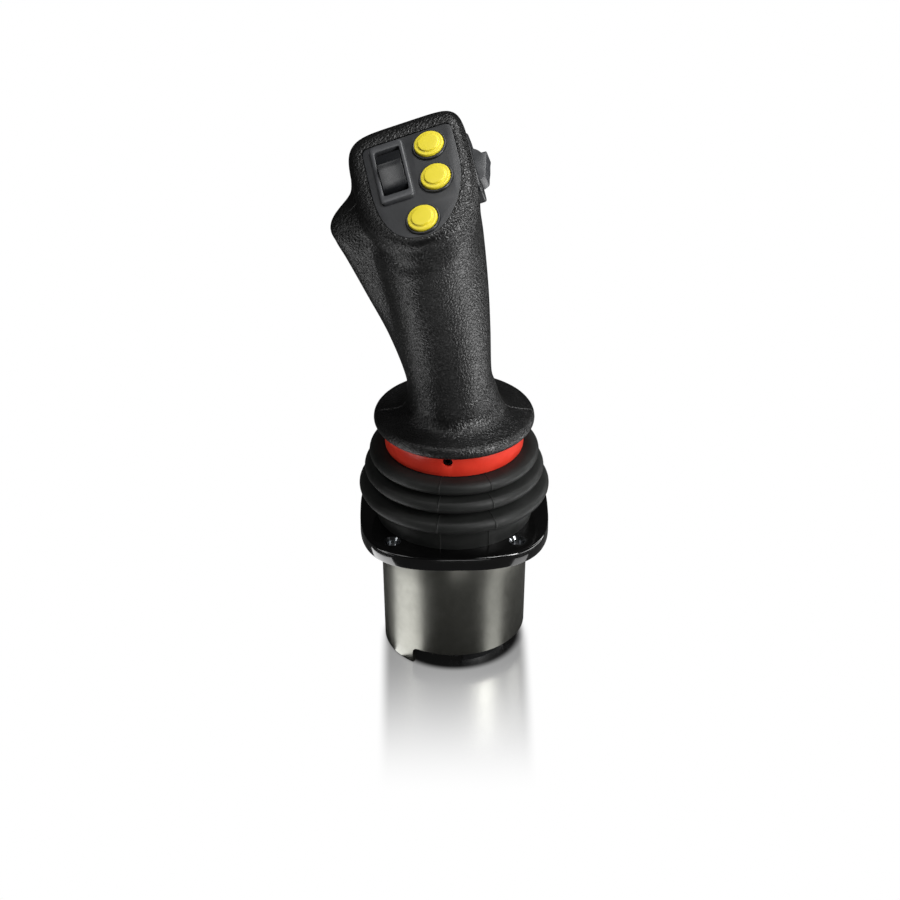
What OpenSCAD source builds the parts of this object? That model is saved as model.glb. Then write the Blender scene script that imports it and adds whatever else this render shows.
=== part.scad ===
// Two-axis industrial hand controller: a leaning multi-function grip with three
// push buttons, a face rocker and a side rocker, on a gimbal base under a bellows.
// Origin: centre of the mounting flange's underside. +X is the operator's right,
// -Y is towards the operator and +Z is up.

/* [Mounting flange] */
// Width of the flange across its mid sides
flange_w = 90; // [88:1:96]
// Thickness of the flange
flange_t = 6.8; // [6.4:0.2:7.6]
// Spacing of the four mounting holes, both ways
hole_pitch = 58.8; // [58.4:0.2:61]
// Diameter of a mounting hole
hole_d = 5.4; // [4.5:0.1:5.8]
// Diameter of a mounting hole's countersink
csk_d = 7.6; // [6.8:0.2:8]
// Squareness of the flange outline, as a superellipse power
flange_pow = 2.92; // [2.8:0.02:3.2]

/* [Housing] */
// Outer radius of the can under the flange
can_r = 35.15; // [34.6:0.05:36]
// Depth of the can below the flange
can_depth = 65; // [63:1:75]
// Wall of the can
can_wall = 2.3; // [1.8:0.1:2.6]
// Draft of the can, in degrees
can_draft = 1; // [0.5:0.1:1.2]
// Height of the rim that is cut away at the front and right
notch_h = 9; // [6:0.5:10]

/* [Gimbal] */
// Depth of the two tilt axes below the flange's underside
pivot_drop = 6; // [5.5:0.1:6.5]
// Largest tilt each way about each axis
tilt_max = 18; // [12:1:18]
// Radius of a gimbal pin
pin_r = 2.5; // [2:0.1:2.6]
// Running clearance round a pin
run_c = 0.03; // [0.02:0.01:0.08]
// Outer radius of the gimbal ring
ring_r = 20; // [19.5:0.1:20.4]
// Radius of the lever shaft
shaft_r = 6; // [5:0.1:6.4]

/* [Bellows and collar] */
// Outer radius of the bellows' bottom skirt
skirt_r = 37.2; // [36.8:0.1:37.6]
// Thickness of the rubber
rubber_t = 1.5; // [1.2:0.1:1.7]
// Radius of the collar at its lower edge
collar_r = 32.5; // [32.3:0.1:33]
// How far the collar flares out towards its top
collar_flare = 4; // [3:0.25:4.5]

/* [Grip] */
// Radius of the disc at the foot of the grip
disc_r = 37.7; // [37:0.1:40]
// Wall of the two grip shells
shell_t = 2.6; // [2.2:0.1:3]
// Thickness of the control plate on the head
plate_t = 2.4; // [2:0.1:2.6]

/* [Controls] */
// Radius of a push button's cap
cap_r = 6.75; // [6.2:0.05:7]
// Travel of a push button
cap_travel = 1.5; // [0.8:0.1:1.8]
// Swing of each rocker, each way
rocker_swing = 12; // [8:1:12]
// Length of the face rocker's bezel
bezel_len = 33.4; // [32.6:0.2:34]
// Width of the face rocker's bezel
bezel_w = 15.8; // [15.4:0.1:16]

/* [Hidden] */
fine = 72;
eps = 0.01;

// Heights along the base
pivot_z = -pivot_drop;
carrier_r_in = ring_r + 3.5;
carrier_r = can_r - can_wall - 1.35;
carrier_low = pivot_z - 11.5;
gate_t = 2.5;
gate_low = carrier_low - gate_t;
opening_r = carrier_r_in + 1.5;
can_slope = tan(can_draft);
base_top = -can_depth + notch_h + 4.5;
base_t = 3;
ledge_t = 1.5;
board_t = 1.6;
board_low = base_top + 9.5;
board_top = board_low + board_t;
tie_r = carrier_r - 4;
tie_at = [110, 230, 350];
hub_half = 7.5;
ring_half = 4.5;
ring_in = 14;
bush_r = pin_r + 1;
tail_r = shaft_r - 2;
tail_end = pivot_z - 23;
magnet_r = 2.5;

// Heights along the lever
collar_low = 44;
// Wall of the collar's hanging lip, and how far the bellows keeps clear of it
collar_lip = 1.2;
bellows_c = 0.1;
// Circle of the screws that hold the shells to the collar
shell_screw_at = 26;
web_low = 49.5;
collar_top = 55;
disc_low = collar_top;
disc_round = 3;
core_r = 9;
core_top = 88;
core_flange_r = 19.3;
shaft_top = core_top - 2;
cross_z = 74;

// Frame of the head: the control plate's face, with x to the right and y away
// from the operator, and the face's outward normal as z
head_o = [-27, 2, 179];
yaw = 11.54;
pitch = 24.45;
roll = -19.92;

function rx(a, p) = [p.x, p.y * cos(a) - p.z * sin(a), p.y * sin(a) + p.z * cos(a)];
function ry(a, p) = [p.x * cos(a) + p.z * sin(a), p.y, -p.x * sin(a) + p.z * cos(a)];
function rz(a, p) = [p.x * cos(a) - p.y * sin(a), p.x * sin(a) + p.y * cos(a), p.z];
function lean(f, p) = rz(yaw * f, rx(pitch * f, ry(roll * f, p)));
function head_at(p) = head_o + lean(1, p);

module head_frame() {
    translate(head_o) rotate([0, 0, yaw]) rotate([pitch, 0, 0]) rotate([0, roll, 0]) children();
}

// Radius of an outline with its own reach right, left, front and back, and its
// own squareness in each quarter
function quarter_pow(c, s, n) = s >= 0 ? (c >= 0 ? n[0] : n[1]) : (c >= 0 ? n[3] : n[2]);
function outline_r(t, e, n) =
    let(c = cos(t), s = sin(t), a = c >= 0 ? e[0] : e[1], b = s >= 0 ? e[3] : e[2],
        q = quarter_pow(c, s, n))
    pow(pow(abs(c) / a, q) + pow(abs(s) / b, q), -1 / q);

// The hand rest: a lobe that grows out of the left side under the head
lobe_at = 180;
lobe_w = 21;
function wrap(t) = t > 180 ? t - 360 : (t < -180 ? t + 360 : t);
function lobe(t, a) = a * exp(-pow(wrap(t - lobe_at) / lobe_w, 2));

// Grip sections: centre, lean, [right, left, front, back], four powers, lobe
head_c = [8.25, -3];
head_reach = [27.75, 27.75, 38, 36];
head_pow = [5.5, 4, 2, 2.4];
soft = [2.2, 2.2, 2.2, 2.2];
function head_row(d, e, a) = [head_at([head_c.x, head_c.y, -d]), 1, e, head_pow, a];
stem_rows = [
    [[-1.2, 0, 74], 0, [20.8, 20.8, 21.4, 21.4], [2.1, 2.1, 2.1, 2.1], 0],
    [[-2.7, 0, 82], 0, [20.1, 20.1, 21, 21], soft, 0],
    [[-6.5, 0, 104], 0.1, [23.2, 20, 23.5, 21], soft, 4],
    [[-11, 1, 124], 0.25, [26.7, 19.5, 27.5, 21], soft, 9],
    [[-15.3, 3, 146], 0.5, [29, 21, 33, 22], [2.5, 2.3, 2.1, 2.2], 13],
    [[-15.6, 4.5, 158], 0.75, [28.6, 23.5, 37, 27], [3.2, 2.8, 2.1, 2.3], 15.5],
    head_row(13, [27.4, 26.2, 39.5, 31], 16.5),
    head_row(9, [27.7, 27.6, 38.6, 35], 5),
    head_row(5.5, head_reach, 0)
];

function spline(a, b, c, d, t) =
    0.5 * (2 * b + (c - a) * t + (2 * a - 5 * b + 4 * c - d) * t * t
        + (3 * b - a - 3 * c + d) * t * t * t);
function row_mix(k, t) =
    let(m = len(stem_rows) - 1, a = stem_rows[max(k - 1, 0)], b = stem_rows[k],
        c = stem_rows[k + 1], d = stem_rows[min(k + 2, m)])
    [for (i = [0:4]) spline(a[i], b[i], c[i], d[i], t)];

// The control plate's outline, about its own centre
plate_c = [9.7, 0];
plate_reach = [21.3, 21.3, 37, 20.8];
plate_pow = [8, 9, 2.6, 1.82];
function plate_pt(t, off) =
    plate_c + (outline_r(t, plate_reach, plate_pow) - off) * [cos(t), sin(t)];

// One point of the grip: section row, angle, inset, blend to the plate, depth
function grip_pt(row, t, off, w, d) =
    let(r = outline_r(t, row[2], row[3]) + lobe(t, row[4]) - off,
        q = (1 - w) * r * [cos(t), sin(t)] + w * (plate_pt(t, off) - head_c))
    row[0] + lean(row[1], [q.x, q.y, -d]);

// Stations up the grip: each is [row, outer inset, blend, depth,
// inner row, inner inset, inner blend, inner depth]
function round_row(z, r) = [[0, 0, z], 0, [r, r, r, r], [2, 2, 2, 2], 0];
core_gap = core_flange_r + 0.3;
disc_path = concat(
    [[disc_low, disc_r - disc_round]],
    [for (a = [-60:30:60]) [disc_low + disc_round * (1 + sin(a)), disc_r - disc_round * (1 - cos(a))]],
    [[disc_low + 2 * disc_round, disc_r - disc_round], [61.7, 29], [62.7, 25.3],
     [64.6, 23.2], [68, 21.7]]
);
disc_stations = [for (p = disc_path)
    [round_row(p[0], p[1]), 0, 0, 0, round_row(p[0], min(core_gap, p[1] - shell_t)), 0, 0, 0]];
steps = 2;
stem_stations = [for (k = [0:len(stem_rows) - 2]) for (i = [0:steps - 1])
    let(row = row_mix(k, i / steps)) [row, 0, 0, 0, row, shell_t, 0, 0]];
rim_h = 5.5;
rim_pow = 2 / 2.4;
seat_d = plate_t + 0.2;
top_row = head_row(0, head_reach, 0);
rim_stations = [for (a = [0:22.5:67.5])
    let(w = 1 - pow(cos(a), rim_pow), d = rim_h * (1 - pow(sin(a), rim_pow)))
    [top_row, 0, w, d, top_row, shell_t - 0.4, w, d + (a == 0 ? 1.2 : 3.2)]];
lip_stations = [
    [top_row, 0, 1, 0, top_row, 2, 1, seat_d + 2.8],
    [top_row, 0, 1, seat_d, top_row, 2, 1, seat_d]
];
stations = concat(disc_stations, stem_stations, rim_stations, lip_stations);

// The front half is worked out as its mirror image across the seam and mirrored back
module half_shell(from, mirrored_back = false) {
    j_n = 20;
    k_n = len(stations) - 1;
    m = j_n + 1;
    base = (k_n + 1) * m;
    ang = [for (j = [0:j_n]) from + 180 * j / j_n];
    outer = [for (s = stations) for (t = ang) grip_pt(s[0], t, s[1], s[2], s[3])];
    inner = [for (s = stations) for (t = ang) grip_pt(s[4], t, s[5], s[6], s[7])];
    skin = [for (k = [0:k_n - 1]) for (j = [0:j_n - 1])
        let(a = k * m + j, b = a + m) each [[a, b, b + 1], [a, b + 1, a + 1]]];
    lining = [for (k = [0:k_n - 1]) for (j = [0:j_n - 1])
        let(a = base + k * m + j, b = a + m) each [[a, a + 1, b + 1], [a, b + 1, b]]];
    foot = [for (j = [0:j_n - 1])
        let(a = j, b = base + j) each [[a, a + 1, b + 1], [a, b + 1, b]]];
    lip = [for (j = [0:j_n - 1])
        let(a = k_n * m + j, b = base + a) each [[a + 1, a, b], [a + 1, b, b + 1]]];
    seam_a = [for (k = [0:k_n - 1])
        let(a = k * m, b = a + m, c = base + a, d = base + b) each [[b, a, c], [b, c, d]]];
    seam_b = [for (k = [0:k_n - 1])
        let(a = k * m + j_n, b = a + m, c = base + a, d = base + b) each [[b, d, c], [b, c, a]]];
    pts = concat(outer, inner);
    faces = concat(skin, lining, foot, lip, seam_a, seam_b);
    if (mirrored_back)
        mirror([0, 1, 0]) polyhedron([for (p = pts) [p.x, -p.y, p.z]],
            [for (f = faces) [f[2], f[1], f[0]]], 10);
    else
        polyhedron(pts, faces, 10);
}

// A round wire swept along points that run round or across the z axis
function unit(p) = p / norm(p);
module wire(path, r) {
    n = len(path) - 1;
    m = 6;
    pts = [for (i = [0:n])
        let(t = unit(path[min(i + 1, n)] - path[max(i - 1, 0)]),
            s = unit(cross([0, 0, 1], t)), u = cross(t, s))
        for (b = [0:m - 1]) path[i] + r * (cos(60 * b) * s + sin(60 * b) * u)];
    side = [for (i = [0:n - 1]) for (b = [0:m - 1])
        let(c = (b + 1) % m) [i * m + b, (i + 1) * m + b, (i + 1) * m + c, i * m + c]];
    polyhedron(pts, concat(side, [[for (b = [0:m - 1]) b]], [[for (b = [0:m - 1]) n * m + m - 1 - b]]), 10);
}
module coil(r, wire_r, length, turns) {
    n = 12;
    wire([for (i = [0:n * turns]) [r * cos(360 * i / n), r * sin(360 * i / n),
        wire_r + (length - 2 * wire_r) * i / (n * turns)]], wire_r);
}
// A torsion spring: two tangent legs that point down, and turns round the z axis
module torsion(r, wire_r, length, turns, leg) {
    n = 12;
    m = n * turns;
    wire(concat(
        [[r, -leg, wire_r]],
        [for (i = [0:m]) [r * cos(360 * i / n), r * sin(360 * i / n),
            wire_r + (length - 2 * wire_r) * i / m]],
        [[-r, -leg, length - wire_r]]), wire_r);
}

module cyl_x(r, a, b) {
    translate([a, 0, 0]) rotate([0, 90, 0]) cylinder(r = r, h = b - a, $fn = 48);
}
module cyl_y(r, a, b) {
    translate([0, b, 0]) rotate([90, 0, 0]) cylinder(r = r, h = b - a, $fn = 48);
}
module tube(ro, ri, z0, z1) {
    translate([0, 0, z0]) difference() {
        cylinder(r = ro, h = z1 - z0, $fn = fine);
        translate([0, 0, -1]) cylinder(r = ri, h = z1 - z0 + 2, $fn = fine);
    }
}
module mirrored() {
    children();
    rotate([0, 0, 180]) children();
}
module at_corners(p) {
    for (x = [-1, 1]) for (y = [-1, 1]) translate([x * p / 2, y * p / 2, 0]) children();
}
module rounded_box(w, l, z0, z1, r) {
    translate([0, 0, z0]) linear_extrude(z1 - z0) {
        square([w - 2 * r, l], center = true);
        square([w, l - 2 * r], center = true);
        for (x = [-1, 1]) for (y = [-1, 1])
            translate([x * (w / 2 - r), y * (l / 2 - r)]) circle(r, $fn = 32);
    }
}
module socket_screw(r, head_r, head_h, length, key_r) {
    difference() {
        union() {
            cylinder(r = head_r, h = head_h, $fn = 32);
            translate([0, 0, head_h]) cylinder(r = r, h = length, $fn = 32);
        }
        translate([0, 0, -1]) cylinder(r = key_r, h = 1 + head_h * 0.6, $fn = 6);
    }
}

// ---- base ----
notch_from = -127;
notch_to = 20;
function wedge(a, b, r) = concat([[0, 0]], [for (i = [0:6]) r * [cos(a + (b - a) * i / 6), sin(a + (b - a) * i / 6)]]);
module housing() {
    color("#26282a") difference() {
        union() {
            difference() {
                translate([0, 0, -can_depth])
                    cylinder(r1 = can_r - can_depth * can_slope, r2 = can_r, h = can_depth, $fn = fine);
                translate([0, 0, -can_depth - 1])
                    cylinder(r1 = can_r - can_wall - (can_depth + 1) * can_slope,
                        r2 = can_r - can_wall + can_slope, h = can_depth + 2, $fn = fine);
            }
            tube(can_r - can_wall + base_top * can_slope + 0.5, tie_r + 3,
                base_top - base_t - ledge_t, base_top - base_t);
        }
        translate([0, 0, -can_depth - 1]) linear_extrude(notch_h + 1) polygon(wedge(notch_from, notch_to, 60));
    }
}
function flange_pt(t) =
    let(h = flange_w / 2)
    pow(pow(abs(cos(t)) / h, flange_pow) + pow(abs(sin(t)) / h, flange_pow), -1 / flange_pow)
    * [cos(t), sin(t)];
module flange() {
    color("#101112") difference() {
        linear_extrude(flange_t) polygon([for (i = [0:119]) flange_pt(3 * i)]);
        translate([0, 0, -1]) cylinder(r = opening_r, h = flange_t + 2, $fn = fine);
        at_corners(hole_pitch) {
            translate([0, 0, -1]) cylinder(r = hole_d / 2, h = flange_t + 2, $fn = 48);
            translate([0, 0, flange_t - (csk_d - hole_d) / 2])
                cylinder(r1 = hole_d / 2, r2 = csk_d / 2 + 1, h = (csk_d - hole_d) / 2 + 1, $fn = 48);
        }
        for (a = [45:90:315]) rotate([0, 0, a]) translate([tie_r, 0, 0]) {
            translate([0, 0, -1]) cylinder(r = 1.6, h = flange_t + 2, $fn = 32);
            translate([0, 0, flange_t - 3]) cylinder(r = 3, h = 4, $fn = 32);
        }
    }
}
module flange_screws() {
    color("silver") for (a = [45:90:315]) rotate([0, 0, a]) translate([tie_r, 0, flange_t - 0.2])
        mirror([0, 0, 1]) socket_screw(1.5, 2.75, 2.8, 11, 1.25);
}
module gimbal_carrier() {
    color("#5b5e62") difference() {
        tube(carrier_r, carrier_r_in, carrier_low, 0);
        translate([0, 0, pivot_z]) cyl_x(bush_r + 0.01, -40, 40);
        for (a = [45:90:315]) rotate([0, 0, a]) translate([tie_r, 0, -9]) cylinder(r = 1.51, h = 10, $fn = 32);
        for (a = tie_at) rotate([0, 0, a]) translate([tie_r, 0, carrier_low - 1])
            cylinder(r = 1.51, h = 7, $fn = 32);
    }
}
module carrier_bushings() {
    color("#b08d4f") mirrored() translate([0, 0, pivot_z]) difference() {
        cyl_x(bush_r, carrier_r_in + 0.1, carrier_r - 0.3);
        cyl_x(pin_r + run_c, carrier_r_in - 1, carrier_r + 1);
    }
}
gate_half = (-(gate_low) + pivot_z) * tan(tilt_max) + tail_r / cos(tilt_max) + 0.55;
module gate_plate() {
    color("#8d9196") difference() {
        translate([0, 0, gate_low]) cylinder(r = carrier_r, h = gate_t, $fn = fine);
        translate([-gate_half, -gate_half, gate_low - 1]) cube([2 * gate_half, 2 * gate_half, gate_t + 2]);
        for (a = tie_at) rotate([0, 0, a]) translate([tie_r, 0, gate_low - 1])
            cylinder(r = 1.6, h = gate_t + 2, $fn = 32);
    }
}
module tie_screws() {
    color("silver") for (a = tie_at) rotate([0, 0, a])
        translate([tie_r, 0, base_top - base_t - 2.5])
            socket_screw(1.5, 2.75, 2.5, carrier_low + 5.8 - (base_top - base_t), 1.25);
}
module lower_spacers() {
    color("#b9bcc0") for (a = tie_at) rotate([0, 0, a]) translate([tie_r, 0, 0])
        tube(2.9, 1.6, base_top, board_low);
}
module upper_spacers() {
    color("#b9bcc0") for (a = tie_at) rotate([0, 0, a]) translate([tie_r, 0, 0])
        tube(2.9, 1.6, board_top, gate_low);
}
module sensor_board() {
    color("#1f6b3a") difference() {
        translate([0, 0, board_low]) cylinder(r = carrier_r - 0.8, h = board_t, $fn = fine);
        for (a = tie_at) rotate([0, 0, a]) translate([tie_r, 0, board_low - 1])
            cylinder(r = 1.6, h = board_t + 2, $fn = 32);
    }
}
module hall_sensor() {
    color("#151515") translate([-3, -3, board_top]) cube([6, 6, 1.5]);
}
module base_plate() {
    color("#303236") difference() {
        translate([0, 0, base_top - base_t]) cylinder(r = carrier_r - 0.3, h = base_t, $fn = fine);
        for (a = tie_at) rotate([0, 0, a]) translate([tie_r, 0, base_top - base_t - 1])
            cylinder(r = 1.6, h = base_t + 2, $fn = 32);
        for (x = [-1, 1]) for (i = [-2:2]) translate([x * 2.5, i * 4 + conn_y, base_top - base_t - 1])
            cylinder(r = 0.61, h = base_t + 2, $fn = 16);
    }
}
conn_y = 0;
shroud_r = 26.3;
module connector_shroud() {
    color("#2b2d30") rotate([0, 0, -82]) rotate_extrude(angle = 58, $fn = fine)
        translate([shroud_r - 2, -can_depth]) square([2, can_depth + base_top - base_t]);
}
module connector_body() {
    color("#1b1c1e") difference() {
        translate([0, conn_y, 0]) rounded_box(14, 25, -can_depth + 3, base_top - base_t, 1.5);
        translate([0, conn_y, 0]) rounded_box(11, 22, -can_depth + 2, base_top - base_t - 2, 0.8);
        for (x = [-1, 1]) for (i = [-2:2]) translate([x * 2.5, i * 4 + conn_y, -can_depth])
            cylinder(r = 0.61, h = can_depth, $fn = 16);
    }
}
module connector_pins() {
    color("gold") for (x = [-1, 1]) for (i = [-2:2]) translate([x * 2.5, i * 4 + conn_y, -can_depth + 4])
        cylinder(r = 0.6, h = can_depth - 4 + base_top + 1, $fn = 16);
}
module terminal_tabs() {
    color("silver") for (a = [-94, -88]) rotate([0, 0, a])
        translate([shroud_r - 2.4, -0.9, -can_depth + 1.5]) cube([0.8, 1.8, can_depth - 1.5 + base_top - base_t]);
}
module bellows_clamp() {
    color("#3b3d40") tube(skirt_r - rubber_t - 0.05, skirt_r - rubber_t - 3, flange_t, flange_t + 5);
}

// ---- bellows: folds as [radius of the fold's centre, height] with rounded rims ----
fold_r = 3;
neck_r = collar_r - collar_lip - bellows_c;
fold_z = [22, 31.7, 40.2];
valley_z = 27;
valley_r = skirt_r - 0.8;
// The widest fold reaches the flange's edge
folds = [[flange_w / 2 + 0.1 - fold_r, fold_z[0]], [skirt_r + 2.2, fold_z[1]], [skirt_r - 0.2, fold_z[2]]];
function fold(i, a, b) = [for (t = [a:14:b]) folds[i] + fold_r * [cos(t), sin(t)]];
bellows_low = flange_t + 0.1;
path_low = concat([[skirt_r, bellows_low], [skirt_r, 15], [skirt_r + 0.4, 16.4], [skirt_r + 2, 17.9]],
    fold(0, -70, 70), [[skirt_r + 1.4, valley_z - 0.8], [valley_r, valley_z]]);
path_high = concat([[valley_r, valley_z], [skirt_r + 0.8, valley_z + 1.4]], fold(1, -56, 70),
    [[skirt_r - 1.2, 35.6], [skirt_r - 2.2, 36.2], [skirt_r - 1, 37.3]], fold(2, -56, 56),
    [folds[2] + [-1.2, fold_r + 0.25], [collar_r + 0.9, collar_low - 0.3], [neck_r + 0.2, collar_low - 0.3],
        [neck_r, collar_low + 0.3], [neck_r, web_low - 0.1]]);
function inward(p, t) = [for (i = [0:len(p) - 1])
    let(d = unit(p[min(i + 1, len(p) - 1)] - p[max(i - 1, 0)])) p[i] + t * [-d.y, d.x]];
function reversed(p) = [for (i = [len(p) - 1:-1:0]) p[i]];
module bellows_lower() {
    color("#2e2f2e") rotate_extrude($fn = fine) polygon(concat(path_low, reversed(
        concat([[skirt_r - rubber_t, bellows_low]],
            [for (i = [1:len(path_low) - 2]) inward(path_low, rubber_t)[i]], [[valley_r - rubber_t, valley_z]]))));
}
module bellows_upper() {
    n = len(path_high) - 1;
    color("#2e2f2e") rotate_extrude($fn = fine) polygon(concat(path_high, reversed(
        concat([[valley_r - rubber_t, valley_z]],
            [for (i = [1:n - 1]) inward(path_high, rubber_t)[i]], [[neck_r - rubber_t, web_low - 0.1]]))));
}

// ---- gimbal ----
module gimbal_ring() {
    color("#a7abb0") translate([0, 0, pivot_z]) difference() {
        tube(ring_r, ring_in, -ring_half, ring_half);
        cyl_x(pin_r + 0.01, -30, 30);
        cyl_y(bush_r + 0.01, -30, 30);
    }
}
module gimbal_pins() {
    color("silver") mirrored() translate([0, 0, pivot_z]) cyl_x(pin_r, ring_in + 0.3, carrier_r - 0.5);
}
module ring_bushings() {
    color("#b08d4f") mirrored() translate([0, 0, pivot_z]) difference() {
        cyl_y(bush_r, ring_in + 0.3, ring_r - 0.4);
        cyl_y(pin_r + run_c, ring_in - 1, ring_r + 1);
    }
}
module pitch_springs() {
    color("#c9ccd0") mirrored() translate([ring_r + 0.35, 0, pivot_z]) rotate([0, 90, 0]) rotate([0, 0, 90])
        torsion(pin_r + 1, 0.4, 2.8, 2.5, 7);
}
module roll_springs() {
    color("#c9ccd0") mirrored() translate([0, hub_half + 0.8, pivot_z]) rotate([-90, 0, 0])
        rotate([0, 0, 180]) torsion(pin_r + 1, 0.4, 4.8, 3.5, 7);
}

// ---- lever ----
module lever_shaft() {
    color("#9b9fa4") difference() {
        union() {
            translate([-hub_half, -hub_half, pivot_z - 5]) cube([2 * hub_half, 2 * hub_half, 10]);
            translate([0, 0, pivot_z]) cylinder(r = shaft_r, h = shaft_top - pivot_z, $fn = 48);
            translate([0, 0, tail_end]) cylinder(r = tail_r, h = pivot_z - tail_end, $fn = 48);
        }
        translate([0, 0, pivot_z]) cyl_y(pin_r + 0.01, -20, 20);
        translate([0, 0, tail_end - 1]) cylinder(r = magnet_r + 0.02, h = 4, $fn = 32);
        translate([0, 0, pivot_z + 8]) cylinder(r = shaft_r - 2.6, h = shaft_top, $fn = 32);
        translate([0, 0, cross_z]) cyl_x(1.51, -20, 20);
    }
}
module hub_pins() {
    color("silver") mirrored() translate([0, 0, pivot_z]) cyl_y(pin_r, 1, ring_r - 0.6);
}
module magnet() {
    color("#d0d3d6") translate([0, 0, tail_end]) cylinder(r = magnet_r, h = 2.95, $fn = 32);
}
screw_z = 52;
screw_az = -96;
module collar() {
    top_r = collar_r + collar_flare;
    color("#d8361f") difference() {
        rotate_extrude($fn = fine) polygon([
            [shaft_r + 0.05, web_low], [collar_r - collar_lip, web_low], [collar_r - collar_lip, collar_low],
            [collar_r, collar_low], [top_r - 0.2, collar_top - 1.2], [top_r, collar_top - 0.7],
            [top_r, collar_top - 0.2], [top_r - 0.3, collar_top], [shaft_r + 0.05, collar_top]]);
        translate([0, 0, screw_z]) rotate([0, 0, screw_az]) cyl_x(2.35, 22, 40);
        for (a = [30:120:270]) rotate([0, 0, a]) translate([13.5, 0, web_low - 1])
            cylinder(r = 2.1, h = 8, $fn = 32);
        for (a = [45:90:315]) rotate([0, 0, a]) translate([shell_screw_at, 0, web_low - 1])
            cylinder(r = 1.6, h = 8, $fn = 32);
    }
}
module collar_set_screw() {
    color("#17181a") translate([0, 0, screw_z]) rotate([0, 0, screw_az]) difference() {
        cyl_x(2.3, 22, collar_r - 0.6);
        translate([collar_r - 3, 0, 0]) rotate([0, 90, 0]) cylinder(r = 1.3, h = 5, $fn = 6);
    }
}
module core_screws() {
    color("silver") for (a = [30:120:270]) rotate([0, 0, a]) translate([13.5, 0, web_low - 3.5])
        socket_screw(2, 3.4, 3.5, 9.2, 1.5);
}
module shell_screws() {
    color("silver") for (a = [45:90:315]) rotate([0, 0, a]) translate([shell_screw_at, 0, web_low - 2.5])
        socket_screw(1.5, 2.75, 2.5, 9.8, 1.25);
}
module grip_core() {
    color("#6d7176") difference() {
        union() {
            translate([0, 0, collar_top]) cylinder(r = core_flange_r, h = 5, $fn = fine);
            translate([0, 0, collar_top]) cylinder(r = core_r, h = core_top - collar_top, $fn = 48);
        }
        translate([0, 0, collar_top - 1]) cylinder(r = shaft_r + 0.03, h = core_top, $fn = 48);
        translate([0, 0, cross_z]) cyl_x(1.51, -20, 20);
        for (a = [30:120:270]) rotate([0, 0, a]) translate([13.5, 0, collar_top - 1])
            cylinder(r = 2.01, h = 4.9, $fn = 32);
    }
}
module cross_pin() {
    color("silver") translate([0, 0, cross_z]) cyl_x(1.5, -core_r + 0.2, core_r - 0.2);
}

// Screws that hold the two shells together: [x, z, y inside the front wall, y inside the rear wall]
ties = [[-8.5, 110, -23, 20.3], [-14.5, 141, -28.5, 23.2]];
well_r = 3.1;
side_len = 35;
side_w = 11.6;
side_at = [35.6, -1, -10];
module side_frame() {
    head_frame() translate(side_at) rotate([0, 90, 0]) children();
}
module shell_pilots() {
    for (a = [45:90:315]) rotate([0, 0, a]) translate([shell_screw_at, 0, disc_low - 1])
        cylinder(r = 1.51, h = 5.4, $fn = 24);
}
module side_opening() {
    side_frame() rounded_box(side_w + 0.3, side_len + 0.3, -9, 8, 3.6);
}
// Clears the rim under the control plate where a button's tube comes close to it
module tube_reliefs() {
    head_frame() for (p = caps) translate([p.x, p.y, -9.6]) cylinder(r = well + 0.7, h = 7.2, $fn = 48);
}
module grip_front() {
    color("#17181a") union() {
        difference() {
            half_shell(180, true);
            shell_pilots();
            side_opening();
            tube_reliefs();
        }
        for (s = ties) translate([s[0], 0, s[1]]) difference() {
            cyl_y(3.4, s[2], -0.2);
            cyl_y(1.51, -13, 1);
        }
    }
}
module grip_rear() {
    color("#17181a") difference() {
        union() {
            half_shell(0);
            for (s = ties) translate([s[0], 0, s[1]]) cyl_y(4.6, 0.2, s[3]);
        }
        for (s = ties) translate([s[0], 0, s[1]]) {
            cyl_y(1.6, -1, 30);
            cyl_y(well_r, 6, 60);
        }
        shell_pilots();
        side_opening();
    }
}
module grip_screws() {
    color("#8f9296") for (s = ties) translate([s[0], 8.5, s[1]]) rotate([90, 0, 0])
        socket_screw(1.5, 2.8, 2.5, 17, 1.25);
}

// ---- control plate, in the head's frame ----
caps = [[19.1, 11], [18.5, -7.9], [8.5, -27.9]];
bezel_r = cap_r + 1.25;
well = cap_r + 0.2;
plate_top = -0.2;
bezel_at = [0, 2.7];
barrel_r = 9.3;
barrel_z = -6.4;
box_len = 27.6;
box_w = 14;
module face_plate() {
    color("#34373a") head_frame() difference() {
        translate([0, 0, plate_top - plate_t]) linear_extrude(plate_t)
            polygon([for (i = [0:39]) plate_pt(9 * i, 0.15)]);
        for (p = caps) translate([p.x, p.y, -5]) cylinder(r = well + 0.55, h = 10, $fn = 48);
        translate([bezel_at.x, bezel_at.y, 0]) rounded_box(box_w + 0.2, box_len + 0.2, -5, 5, 1);
    }
}
module button_bezels() {
    color("#1c1e20") head_frame() for (p = caps) translate([p.x, p.y, 0]) difference() {
        union() {
            translate([0, 0, -9]) cylinder(r = well + 0.5, h = 9.5, $fn = 48);
            translate([0, 0, plate_top]) cylinder(r = bezel_r, h = 1, $fn = 48);
        }
        translate([0, 0, -8]) cylinder(r = well, h = 12, $fn = 48);
        translate([0, 0, -10]) cylinder(r = 2.3, h = 4, $fn = 32);
    }
}
module button_switches() {
    color("#202224") head_frame() for (p = caps) translate([p.x, p.y, 0]) difference() {
        translate([-5.2, -5.2, -15.5]) cube([10.4, 10.4, 6.5]);
        translate([0, 0, -13.2]) cylinder(r = 2.2, h = 6, $fn = 32);
    }
}
module button_cap(p) {
    color("#f2df22") head_frame() translate([p.x, p.y, 0]) {
        translate([0, 0, -1]) cylinder(r = cap_r, h = 2.9, $fn = 48);
        translate([0, 0, 1.9]) cylinder(r1 = cap_r * 0.74, r2 = cap_r * 0.7, h = 0.8, $fn = 48);
        translate([0, 0, -10.6]) cylinder(r = 1.9, h = 9.6, $fn = 32);
    }
}
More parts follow.
